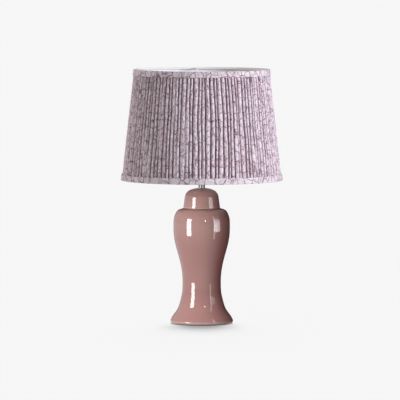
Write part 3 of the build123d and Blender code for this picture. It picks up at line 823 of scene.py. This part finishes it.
def mesh_piece(
    name: str,
    points: np.ndarray,
    faces: Iterable[Sequence[int]],
    flat_places: np.ndarray | None = None,
    folds: np.ndarray | None = None,
) -> bpy.types.Object:
    """Make a smooth-shaded object from points and faces.

    Args:
        name: the piece's name.
        points: its vertices, in metres.
        faces: its faces, as vertex numbers.
        flat_places: each vertex's place on the flat cloth, in metres.
        folds: how deep in a fold each vertex lies, from 0 to 1.

    Returns:
        The linked object.
    """
    mesh = bpy.data.meshes.new(name)
    mesh.from_pydata(points.tolist(), [], [tuple(face) for face in faces])
    if flat_places is not None:
        layer = mesh.uv_layers.new(name="cloth")
        corners = np.empty(len(mesh.loops), dtype=np.int32)
        mesh.loops.foreach_get("vertex_index", corners)
        layer.data.foreach_set("uv", flat_places[corners].astype(np.float32).ravel())
    if folds is not None:
        layer = mesh.attributes.new("fold", "FLOAT", "POINT")
        layer.data.foreach_set("value", folds.astype(np.float32))
    mesh.polygons.foreach_set("use_smooth", np.ones(len(mesh.polygons), dtype=bool))
    mesh.update()
    return link(bpy.data.objects.new(name, mesh))


def grid_faces(rows: int, columns: int, closed: bool) -> list[tuple[int, ...]]:
    """Return the quads of a grid of points numbered row by row.

    Args:
        rows: how many rows of points.
        columns: how many points in a row.
        closed: whether the last row joins the first.

    Returns:
        The quads as vertex numbers.
    """
    quads = []
    for row in range(rows if closed else rows - 1):
        here, above = row * columns, (row + 1) % rows * columns
        for column in range(columns - 1):
            beside = column + 1
            quads.append((here + column, here + beside, above + beside, above + column))
    return quads


def ring_points(turn: np.ndarray, radius: np.ndarray, level: np.ndarray | float) -> np.ndarray:
    """Return points round the lamp's axis.

    Args:
        turn: each point's angle from the right, in radians.
        radius: each point's distance from the axis.
        level: the points' level.

    Returns:
        One point in a row.
    """
    levels = np.broadcast_to(level, turn.shape)
    return np.stack([radius * np.cos(turn), radius * np.sin(turn), levels], 1)


def smooth_noise(draw: np.random.RandomState, count: int, width: int) -> np.ndarray:
    """Return random numbers, each the mean of neighbours.

    Args:
        draw: where the numbers are drawn from.
        count: how many to return.
        width: how many neighbours each one averages.

    Returns:
        The numbers, around 0.
    """
    return np.convolve(draw.randn(count + width - 1), np.ones(width) / width, "valid")


def node(name: str) -> bpy.types.Object:
    """Return a CAD node's object."""
    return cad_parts[name]


def dress_nodes(finish: Finish, *names: str) -> None:
    """Put a finish on CAD nodes and report them."""
    for name in names:
        finish.dress(node(name))
        LOG.info("dressed %s with %s", name, finish.name)


# ---------------------------------------------------------------- the lamp
Dressing = tuple[tuple[Finish | str, ...], ...]


@dataclass
class Fittings:
    """A sub-assembly of solids that keep their shape and get their finishes."""

    finishes: Dressing = ()

    def dress(self) -> None:
        """Give each carried-over solid its finish."""
        for finish, *names in self.finishes:
            dress_nodes(finish, *names)


@dataclass
class Base(Fittings):
    """The jar with its lid, felt and grommet, and what clamps them on the rod."""

    finishes: Dressing = (
        (Finishes.JAR, "jar"),
        (Finishes.LID_PAINTED_LIGHTER, "lid"),
        (Finishes.GASKET, "lid_gasket"),
        (Finishes.FELT, "felt_pad"),
        (Finishes.RUBBER, "cord_grommet", "floor_washer"),
        (Finishes.ZINC, "plate_washer", "rod_nut"),
        (Finishes.ZINC_THREAD, "threaded_rod"),
        (Finishes.CLEAR_WASHER, "neck_washer"),
        (Finishes.NECK, "neck_tube"),
        (Finishes.NICKEL, "lock_nut"),
    )


@dataclass
class Lampholder(Fittings):
    """The lampholder with its switch, shade rings and the bulb in it."""

    finishes: Dressing = (
        (Finishes.NICKEL, "holder_cap"),
        (Finishes.SHELL, "holder_shell"),
        (Finishes.PORCELAIN, "holder_core"),
        (Finishes.BRASS, "screw_shell", "centre_contact", "terminal_screws"),
        (Finishes.BLACK_PLASTIC, "push_bar", "push_buttons"),
        (Finishes.NICKEL, "lower_shade_ring", "upper_shade_ring"),
        (Finishes.SOLDER, "bulb_tip"),
        (Finishes.BLACK_GLASS, "bulb_insulator"),
        (Finishes.NICKEL, "bulb_cap"),
        (Finishes.WHITE_PLASTIC, "bulb_collar"),
        (Finishes.OPAL, "bulb_globe"),
    )


@dataclass
class Carrier(Fittings):
    """The wire carrier that holds the shade over the bulb."""

    finishes: Dressing = ((Finishes.NICKEL, "carrier_gallery", "carrier_arms", "carrier_ring"),)


@dataclass
class GatheredShade:
    """The shade: its wire frame, stiff lining, gathered cover and the bands over its ends.

    Fields without MM or an angle are shares or counts. Slips, leans, wavers and pinches
    are shares of a gather's width, depths and insets of valley_inset, and the fading
    places and row_bunching of the shade's height. A stitch wave is its size, its pace
    from gather to gather and its start.
    """

    bottom: float = 311.3 * MM
    top: float = 550.3 * MM
    bottom_crest: float = 173.0 * MM
    top_crest: float = 146.5 * MM
    lining_inset: float = 5.3 * MM
    lining_thickness: float = 0.8 * MM
    lining_slant: float = 0.2405
    lining_wave: float = 0.12 * MM
    lining_columns: int = 300
    lining_rows: int = 14
    lap_angle: float = radians(103.0)
    lap_width: float = 12.0 * MM
    lap_gap: float = 0.1 * MM
    gathers: int = 116
    points_in_gather: int = 16
    rows: int = 40
    row_bunching: float = 0.06
    end_gap: float = 0.9 * MM
    stitch_waves: tuple[Point, ...] = ((0.16, 2.1, 0.0), (0.12, 0.9, 1.0))
    stitch_slip: float = 0.20
    lean: float = 0.40
    lean_neighbours: int = 7
    waver: float = 0.10
    lean_swings: Range = (0.8, 2.2)
    pinches: Range = (-0.095, -0.045)
    valley_inset: float = 5.1 * MM
    valley_depths: Range = (0.76, 1.0)
    fading_share: float = 0.34
    fading: float = 0.6
    fading_middles: Range = (0.15, 0.85)
    fading_lengths: Range = (0.12, 0.35)
    crest_insets: Range = (0.0, 0.16)
    crest_swings: Range = (0.6, 1.6)
    crest_limit: float = 0.3
    crest_sharpness: float = 1.15
    pucker: float = 0.16
    pucker_reach: float = 9.0 * MM
    cloth_cut: Range = (1.40, 0.238)
    hidden_cloth: float = 1.7
    band_height: float = 13.0 * MM
    bottom_band: float = 1.7 * MM
    top_band: float = 0.8 * MM
    band_clearance: float = 0.3 * MM
    band_points_in_gather: int = 6
    bottom_band_cut: float = 0.31
    top_band_cut: float = 0.17
    band_waver: float = 0.22 * MM
    band_lumps: Range = (0.12 * MM, 0.05 * MM)
    band_ripple: float = 0.14 * MM
    rim_waver: float = 0.15
    fold_gap: float = 0.15 * MM
    seed: int = 11
    pieces: list[bpy.types.Object] = field(default_factory=list)

    def crest(self, level: np.ndarray | float) -> np.ndarray | float:
        """Return the radius of the gathers' crests at a level."""
        share = (level - self.bottom) / (self.top - self.bottom)
        return self.bottom_crest + (self.top_crest - self.bottom_crest) * share

    def _valley_lines(self, levels: np.ndarray) -> tuple[np.ndarray, np.ndarray, np.ndarray]:
        """Work out where each fold runs.

        Args:
            levels: the rows' levels.

        Returns:
            Each valley's angle, each valley's inset and each crest's inset, by row.
        """
        draw = np.random.RandomState(self.seed)
        count, step = self.gathers, 2 * pi / self.gathers
        share = ((levels - levels[0]) / (levels[-1] - levels[0]))[:, None]
        bulge = np.sin(pi * share)

        def waver(fewest: float, most: float) -> np.ndarray:
            """Return a sine along each fold, with a count of swings between these."""
            swings = draw.uniform(fewest, most, count)
            wave = np.sin(2 * pi * (share * swings + draw.rand(count)))
            return self.waver * wave * bulge**0.6

        number = np.arange(count)
        place = number.astype(float)
        for size, pace, start in self.stitch_waves:
            place += size * np.sin(pace * number + start)
        start = (place + draw.uniform(-self.stitch_slip, self.stitch_slip, count)) * step
        lean = self.lean * smooth_noise(draw, count, self.lean_neighbours) * bulge
        angle = start + (lean + waver(*self.lean_swings)) * step
        fading = draw.rand(count) < self.fading_share
        middle = draw.uniform(*self.fading_middles, count)
        length = draw.uniform(*self.fading_lengths, count)
        gap = np.exp(-(((share - middle) / length) ** 2)) * fading
        depth = draw.uniform(*self.valley_depths, count) * (1 - self.fading * gap)
        crest = draw.uniform(*self.crest_insets, count) + waver(*self.crest_swings)
        crest = np.clip(crest, 0.0, self.crest_limit)
        return angle, self.valley_inset * depth, self.valley_inset * crest

    def cover(self) -> bpy.types.Object:
        """Build the gathered cover: one sheet of cloth drawn up on threads at both ends.

        Returns:
            The cover.
        """
        share = np.linspace(0.0, 1.0, self.rows)
        share = share - self.row_bunching * np.sin(2 * pi * share)
        height = self.top - self.bottom - 2 * self.end_gap
        levels = self.bottom + self.end_gap + share * height
        angle, valley, crest = self._valley_lines(levels)
        draw = np.random.RandomState(self.seed + 1)
        pinch = draw.uniform(*self.pinches, self.gathers)[:, None]
        crease = draw.uniform(0, 2 * pi, self.gathers)[:, None]
        along = np.arange(self.points_in_gather)[None, :] / self.points_in_gather
        across = along + pinch * np.sin(2 * pi * along)
        rise = 1 - ((1 + np.cos(2 * pi * along)) / 2) ** self.crest_sharpness
        creases = rise * (1 + np.sin(6 * pi * along + crease)) / 2
        columns = self.gathers * self.points_in_gather + 1
        points = np.zeros((self.rows, columns, 3))
        folds = np.zeros((self.rows, columns))
        for row, level in enumerate(levels):
            here, low = angle[row][:, None], valley[row][:, None]
            beyond = np.append(angle[row][1:], angle[row][0] + 2 * pi)[:, None]
            turn = here + (beyond - here) * across
            low = low * (1 - along) + np.roll(low, -1, axis=0) * along
            from_band = min(level - levels[0], levels[-1] - level) - self.band_height
            pucker = self.pucker * np.exp(-max(from_band, 0.0) / self.pucker_reach)
            inset = low * (1 - rise) + crest[row][:, None] * rise
            inset = np.clip(inset + pucker * self.valley_inset * creases, 0.0, self.valley_inset)
            turn = np.append(turn, turn[0, 0] + 2 * pi)
            inset = np.append(inset, inset[0, 0])
            points[row] = ring_points(turn + pi / 2, self.crest(level) - inset, level)
            folds[row] = inset / self.valley_inset
        steps = np.linalg.norm(np.diff(points, axis=1), axis=2).mean(axis=0)
        flat = np.zeros((self.rows, columns, 2))
        flat[:, :, 0] = np.append(0.0, np.cumsum(steps))[None, :] * self.hidden_cloth
        flat[:, :, 1] = levels[:, None]
        piece = mesh_piece(
            "shade_gathers",
            points.reshape(-1, 3),
            grid_faces(self.rows, columns, closed=False),
            flat.reshape(-1, 2),
            folds.ravel(),
        )
        Finishes.PRINT.dress(piece)
        LOG.info("gathered cloth is %.3f m long when flat", steps.sum())
        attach(piece, "shade")
        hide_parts("shade_cover")
        return piece

    def band(
        self, name: str, replaced: str, low: float, thickness: float, shift: float
    ) -> bpy.types.Object:
        """Build one flat band of folded cloth over an end of the gathers.

        Args:
            name: the piece's name.
            replaced: the CAD node that it stands for.
            low: level of its lower edge.
            thickness: its folded thickness.
            shift: where on the cloth it was cut, in metres.

        Returns:
            The band.
        """
        draw = np.random.RandomState(self.seed + int(thickness * 1e5))
        columns = self.gathers * self.band_points_in_gather
        turn = np.arange(columns + 1) * 2 * pi / columns
        lump = smooth_noise(draw, columns, 9)
        lump = np.append(lump, lump[0])
        edge_lump, face_lump = self.band_lumps
        ripple = np.abs(np.sin(turn * self.gathers / 2 + 0.6 * np.sin(turn * 9)))
        edge = self.band_waver * np.sin(turn * 31 + 2 * np.sin(turn * 7)) + edge_lump * lump
        far = (self.band_clearance + thickness + self.lining_inset - self.fold_gap) / thickness
        # round the band's section: (share of its height, share of its thickness inwards)
        outline = [
            (0.0, 0.30), (0.02, 0.02), (0.10, -0.03), (0.14, 0.0), (0.30, -0.03), (0.50, -0.04),
            (0.70, -0.03), (0.86, 0.0), (0.90, -0.03), (0.975, 0.02), (0.993, 0.30), (1.0, 0.9),
            (1.0, far * 0.6), (0.996, far), (0.966, far), (0.960, far * 0.6), (0.955, 1.2),
            (0.94, 1.0), (0.5, 1.0), (0.03, 1.0), (0.0, 0.75),
        ]
        if low == self.bottom:
            outline = [(1 - up, inward) for up, inward in reversed(outline)]
        points = np.zeros((len(outline), columns + 1, 3))
        flat = np.zeros((len(outline), columns + 1, 2))
        run = 0.0
        before = outline[0]
        for row, (up, inward) in enumerate(outline):
            run += hypot((up - before[0]) * self.band_height, (inward - before[1]) * thickness)
            before = (up, inward)
            level = np.full(columns + 1, low + up * self.band_height)
            if abs(up - 0.5) > 0.3:
                beyond = low - self.bottom if up < 0.5 else self.top - low - self.band_height
                share = 1.0 if beyond > self.band_height else self.rim_waver
                level += edge * share * (1 if up > 0.5 else -1)
            radius = self.crest(level) + self.band_clearance + thickness * (1 - inward)
            if inward < 0.5:
                radius += self.band_ripple * (ripple - 1) * (1 - inward) + face_lump * lump
            level = np.clip(level, self.bottom, self.top)
            points[row] = ring_points(turn + pi / 2, radius, level)
            flat[row, :, 0] = shift + turn * self.crest(low)
            flat[row, :, 1] = shift + run
        piece = mesh_piece(
            name,
            points.reshape(-1, 3),
            grid_faces(len(outline), columns + 1, closed=True),
            flat.reshape(-1, 2),
        )
        Finishes.BAND_PRINT_PAINTED_DARKER.dress(piece)
        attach(piece, "shade")
        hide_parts(replaced)
        girth = 2 * pi * float(self.crest(low))
        return piece

    def lining(self) -> bpy.types.Object:
        """Build the stiff lining: one sheet rolled into a cone, its end lapped inside.

        Returns:
            The lining.
        """
        columns, rows = self.lining_columns, self.lining_rows
        mean_radius = (self.bottom_crest + self.top_crest) / 2
        lap = self.lap_width / mean_radius
        turn = self.lap_angle + np.linspace(0.0, 2 * pi + lap, columns)
        past = turn - (self.lap_angle + 2 * pi)
        step_in = 1 / (1 + np.exp(-(past + 0.3 * lap) / (0.12 * lap)))
        lapped = step_in * (self.lining_thickness + self.lap_gap)
        outside = np.linspace(self.bottom, self.top, rows)
        points, flat = [], []
        for side, levels in ((0.0, outside), (self.lining_thickness, outside[::-1])):
            for level in levels:
                share = (level - self.bottom) / (self.top - self.bottom)
                wave = self.lining_wave * np.sin(turn * 5 + level * 20) * np.sin(pi * share)
                inset = self.lining_inset + side + lapped + np.abs(wave)
                points.append(ring_points(turn, self.crest(level) - inset, level))
                flat.append(np.stack([turn * mean_radius, np.full(columns, level)], 1))
        ends = [
            tuple(row * columns for row in range(2 * rows)),
            tuple(row * columns + columns - 1 for row in reversed(range(2 * rows))),
        ]
        faces = grid_faces(2 * rows, columns, closed=True) + ends
        piece = mesh_piece(
            "shade_lining_card", np.concatenate(points), faces, np.concatenate(flat)
        )
        piece.data.set_sharp_from_angle(angle=radians(40))
        Finishes.LINING.dress(piece)
        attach(piece, "shade")
        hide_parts("shade_lining")
        2 * pi * float(self.crest(self.bottom)) + self.lap_width
        return piece

    def build(self) -> None:
        """Build the soft pieces and dress the wire frame."""
        self.pieces += [
            self.lining(),
            self.cover(),
            self.band(
                "shade_bottom_band", "bottom_band", self.bottom, self.bottom_band,
                self.bottom_band_cut,
            ),
            self.band(
                "shade_top_band", "top_band", self.top - self.band_height, self.top_band,
                self.top_band_cut,
            ),
        ]
        for piece in self.pieces:
            LOG.info("built %s", piece.name)
        wires = ("shade_top_ring", "shade_bottom_ring", "fitter_ring", "spider_arms")
        dress_nodes(Finishes.PAINT, *wires)
        self.pieces += [node(name) for name in wires]


# ---------------------------------------------------------------- studio
class Reach(Enum):
    """Which rays see a lamp."""

    GLOSS = "gloss"
    DIFFUSE = "diffuse"


class Lit(Enum):
    """Which pieces a lamp falls on."""

    SHADE = "shade"
    BODY = "body"
    NECK = "neck"
    ALL_BUT_NECK = "all but the neck"


@dataclass(frozen=True)
class Lamp:
    """A rectangular lamp beside the object, aimed at its axis and hidden from the camera.

    The azimuth is in degrees from the camera's side towards the right, and the radiance
    is how bright the lamp's face is.
    """

    name: str
    azimuth: float
    distance: float
    level: float
    aim_level: float
    size: Range
    radiance: float
    reach: Reach
    lit: Lit
    spread: float = 180.0
    colour: Colour = (1.0, 1.0, 1.0)

    def hang(self, pieces: Iterable[bpy.types.Object]) -> None:
        """Hang the lamp.

        Args:
            pieces: what it falls on.
        """
        data = bpy.data.lights.new(self.name, "AREA")
        data.shape = "RECTANGLE"
        data.size, data.size_y = self.size
        data.energy = self.radiance * pi * self.size[0] * self.size[1]
        data.spread = radians(self.spread)
        data.color = self.colour
        turn = radians(self.azimuth)
        place = (self.distance * sin(turn), -self.distance * cos(turn), self.level)
        made = link(bpy.data.objects.new(self.name, data))
        made.location = place
        made.rotation_euler = towards(place, (0, 0, self.aim_level))
        made.visible_camera = False
        made.visible_diffuse = self.reach is Reach.DIFFUSE
        made.visible_glossy = self.reach is Reach.GLOSS
        made.light_linking.receiver_collection = group(f"{self.name}_falls_on", pieces)


LAMPS = (
    Lamp(
        "card_left", azimuth=-52, distance=0.82, level=0.262, aim_level=0.262,
        size=(0.29, 0.50), radiance=14.0, reach=Reach.GLOSS, lit=Lit.ALL_BUT_NECK,
    ),
    Lamp(
        "card_right_tall", azimuth=50, distance=0.44, level=0.265, aim_level=0.265,
        size=(0.050, 0.42), radiance=3.0, reach=Reach.GLOSS, lit=Lit.ALL_BUT_NECK,
    ),
    Lamp(
        "card_right_wide", azimuth=62, distance=0.42, level=0.268, aim_level=0.318,
        size=(0.21, 0.215), radiance=0.85, reach=Reach.GLOSS, lit=Lit.ALL_BUT_NECK, spread=62.0,
    ),
    Lamp(
        "card_dot", azimuth=15.5, distance=0.52, level=0.318, aim_level=0.318,
        size=(0.028, 0.028), radiance=60.0, reach=Reach.GLOSS, lit=Lit.ALL_BUT_NECK,
    ),
    Lamp(
        "neck_left", azimuth=-50, distance=0.4, level=0.29, aim_level=0.29,
        size=(0.26, 0.30), radiance=7.0, reach=Reach.GLOSS, lit=Lit.NECK,
    ),
    Lamp(
        "neck_right", azimuth=44, distance=0.4, level=0.29, aim_level=0.29,
        size=(0.17, 0.30), radiance=7.0, reach=Reach.GLOSS, lit=Lit.NECK,
    ),
    Lamp(
        "shade_key", azimuth=57, distance=2.2, level=1.05, aim_level=0.43,
        size=(0.8, 0.8), radiance=28.0, reach=Reach.DIFFUSE, lit=Lit.SHADE,
        colour=(0.96, 0.97, 1.07),
    ),
    Lamp(
        "shade_rim", azimuth=-100, distance=2.2, level=0.9, aim_level=0.43,
        size=(1.0, 1.0), radiance=3.6, reach=Reach.DIFFUSE, lit=Lit.SHADE,
        colour=(1.12, 0.92, 0.92),
    ),
    Lamp(
        "body_side", azimuth=-34, distance=1.3, level=0.5, aim_level=0.15,
        size=(0.5, 0.7), radiance=11.0, reach=Reach.DIFFUSE, lit=Lit.BODY,
    ),
)


@dataclass
class Studio:
    """The floor, the room's light, the lamps and the camera.

    A Range that ends in side or behind is a fade over the angle from the camera's side
    towards the right, in radians.
    """

    room: float = 0.52
    room_full: float = 1.05
    room_loss: float = 0.88
    room_fade: Range = (-0.1, 0.9)
    mirrored: float = 0.66
    mirrored_behind: float = 0.10
    mirrored_least: float = 0.02
    backdrop: float = 0.922
    camera_distance: float = 9.0
    camera_height: float = 0.865
    sensor: float = 36.0
    far_clip: float = 200.0
    aim: Point = (-0.0037, 0.0, 0.2676)
    half_view: float = 0.4326
    floor_corners: tuple[Range, Range] = ((-40.0, -20.0), (40.0, 60.0))
    floor_matt: float = 0.05
    floor_matt_seen: float = 0.4
    floor_bounce: float = 0.78
    bounce_least: float = 0.25
    mirrored_floor_least: float = 0.05
    bounce_side: Range = (2.2, 0.2)
    dim_side: Range = (2.6, -0.1)
    dim_behind: Range = (-3.25, -2.35)
    tint_side: Range = (0.7, 1.9)
    tint_behind: Range = (-2.7, -3.14)
    tint: float = 0.6
    panes: tuple[Range, ...] = ((14, 0.24), (24, 0.20), (33, 0.12), (40, 0.03))
    pane_width: float = 22.0

    def camera(self) -> None:
        """Set up the camera at the photograph's place."""
        data = bpy.data.cameras.new("camera")
        data.sensor_width = self.sensor
        eye = (self.aim[0], -self.camera_distance, self.camera_height)
        away = (Vector(self.aim) - Vector(eye)).length
        data.lens = self.sensor / 2 * away / self.half_view
        data.clip_end = self.far_clip
        camera = link(bpy.data.objects.new("camera", data))
        camera.location = eye
        camera.rotation_euler = towards(eye, self.aim)
        bpy.context.scene.camera = camera

    @staticmethod
    def rays(graph: Graph) -> tuple[Wire, Wire]:
        """Return 1 for the camera's rays, and 1 for rays that gloss or glass sends on."""
        rays = graph.node("ShaderNodeLightPath", output="Is Camera Ray")
        return rays, rays.other("Is Glossy Ray").most(rays.other("Is Transmission Ray"))

    def lit_side(self, facing: Wire) -> Wire:
        """Return how bright the room is in reflections, brightest on the left.

        Args:
            facing: the angle from the camera's side towards the right, in radians.

        Returns:
            The brightness, from 0 to 1.
        """
        return facing.fade(*self.dim_side) * facing.fade(*self.dim_behind)

    def tinted(self, graph: Graph, level: Wire, facing: Wire, glossy: Wire) -> Wire:
        """Return the room's colour: grey, but reddish where the right side is reflected.

        Args:
            graph: the node tree.
            level: the room's brightness.
            facing: the angle from the camera's side towards the right, in radians.
            glossy: one for rays that reflections send out.

        Returns:
            The colour.
        """
        side = facing.fade(*self.tint_side).most(facing.fade(*self.tint_behind))
        side = side * glossy * self.tint
        return graph.join(level * (side + 1), level * (1 - side), level * (1 - side))

    def world(self) -> None:
        """Set up a pale room: plain for the camera, darker to the right in reflections."""
        world = bpy.data.worlds.new("room")
        bpy.context.scene.world = world
        graph = Graph(world)
        rays, glossy = self.rays(graph)
        x, y, _ = graph.parts(graph.place(Space.GENERATED))
        facing = x.angle(-y)
        seen = self.lit_side(facing) * (self.mirrored + y * self.mirrored_behind)
        seen = seen + self.mirrored_least
        soft = self.room * (self.room_full - x.fade(*self.room_fade) * self.room_loss)
        level = rays * self.backdrop + glossy * (1 - rays) * seen + (1 - rays.most(glossy)) * soft
        tone = self.tinted(graph, level, facing, glossy)
        shader = graph.node("ShaderNodeBackground", inputs={"Color": tone, "Strength": 1.0})
        graph.node("ShaderNodeOutputWorld", inputs={0: shader})

    def floor(self) -> bpy.types.Object:
        """Lay a pale floor that runs into the backdrop and holds the lamp's shadow.

        Returns:
            The floor.
        """
        (left, near), (right, far) = self.floor_corners
        points = np.array([(left, near, 0), (right, near, 0), (right, far, 0), (left, far, 0)])
        piece = mesh_piece("floor", points, [(0, 1, 2, 3)])
        made = bpy.data.materials.new("pale_floor")
        graph = Graph(made)
        rays, glossy = self.rays(graph)
        x, y, _ = graph.parts(graph.place())
        facing = x.angle(-y)
        from_panes = sum(share for _, share in self.panes)
        glow = self.backdrop * (1 - from_panes) - self.floor_matt * self.floor_matt_seen
        bounce = facing.fade(*self.bounce_side) * (1 - self.bounce_least) + self.bounce_least
        soft = self.room * self.floor_bounce * bounce
        least = self.mirrored_floor_least
        seen = (self.lit_side(facing) * (1 - least) + least) * self.backdrop
        level = rays * glow + (1 - rays) * (1 - glossy) * soft + glossy * seen
        tone = self.tinted(graph, level, facing, glossy)
        pale = graph.node("ShaderNodeEmission", inputs={"Color": tone})
        matt = graph.node("ShaderNodeBsdfDiffuse", inputs={"Color": (self.floor_matt,) * 3})
        lit = graph.node("ShaderNodeAddShader", inputs={0: matt, 1: pale})
        shader = graph.node("ShaderNodeMixShader", inputs={0: rays, 1: pale, 2: lit})
        graph.node("ShaderNodeOutputMaterial", inputs={0: shader})
        piece.data.materials.append(made)
        return piece

    def window(self, floor: bpy.types.Object, casters: Sequence[bpy.types.Object]) -> None:
        """Hang the tall light behind the lamp that throws its shadow on the floor.

        Args:
            floor: the only thing that the light falls on.
            casters: the pieces that stand in its way.
        """
        lit = group("window_falls_on", [floor])
        stops = group("window_is_stopped_by", casters)
        for number, (tilt, share) in enumerate(self.panes):
            data = bpy.data.lights.new(f"window_{number}", "SUN")
            data.energy = share * self.backdrop * pi / (self.floor_matt * cos(radians(tilt)))
            data.angle = radians(self.pane_width)
            pane = link(bpy.data.objects.new(data.name, data))
            pane.rotation_euler = (radians(-tilt), 0.0, 0.0)
            pane.light_linking.receiver_collection = lit
            pane.light_linking.blocker_collection = stops

    def build(self, shade: Sequence[bpy.types.Object], body: Sequence[bpy.types.Object]) -> None:
        """Set up everything round the lamp.

        Args:
            shade: the shade's pieces.
            body: the other pieces.
        """
        bpy.context.scene.view_settings.view_transform = "Standard"
        self.camera()
        self.world()
        self.window(self.floor(), [node(name) for name in ("jar", "lid", "felt_pad")])
        neck = node("neck_tube")
        lit = {
            Lit.SHADE: shade,
            Lit.BODY: body,
            Lit.NECK: [neck],
            Lit.ALL_BUT_NECK: [piece for piece in (*shade, *body) if piece != neck],
        }
        for lamp in LAMPS:
            lamp.hang(lit[lamp.lit])
        LOG.info("studio ready")


def main() -> None:
    """Build the lamp's pieces in order, then the studio."""
    logging.basicConfig(level=logging.INFO, format="%(name)s: %(message)s")
    Base().dress()
    Lampholder().dress()
    Carrier().dress()
    shade = GatheredShade()
    shade.build()
    hidden = {piece.name for piece in shade.pieces}
    body = [piece for name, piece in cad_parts.items() if name not in hidden]
    Studio().build(shade.pieces, body)


if __name__ == "__main__":
    main()
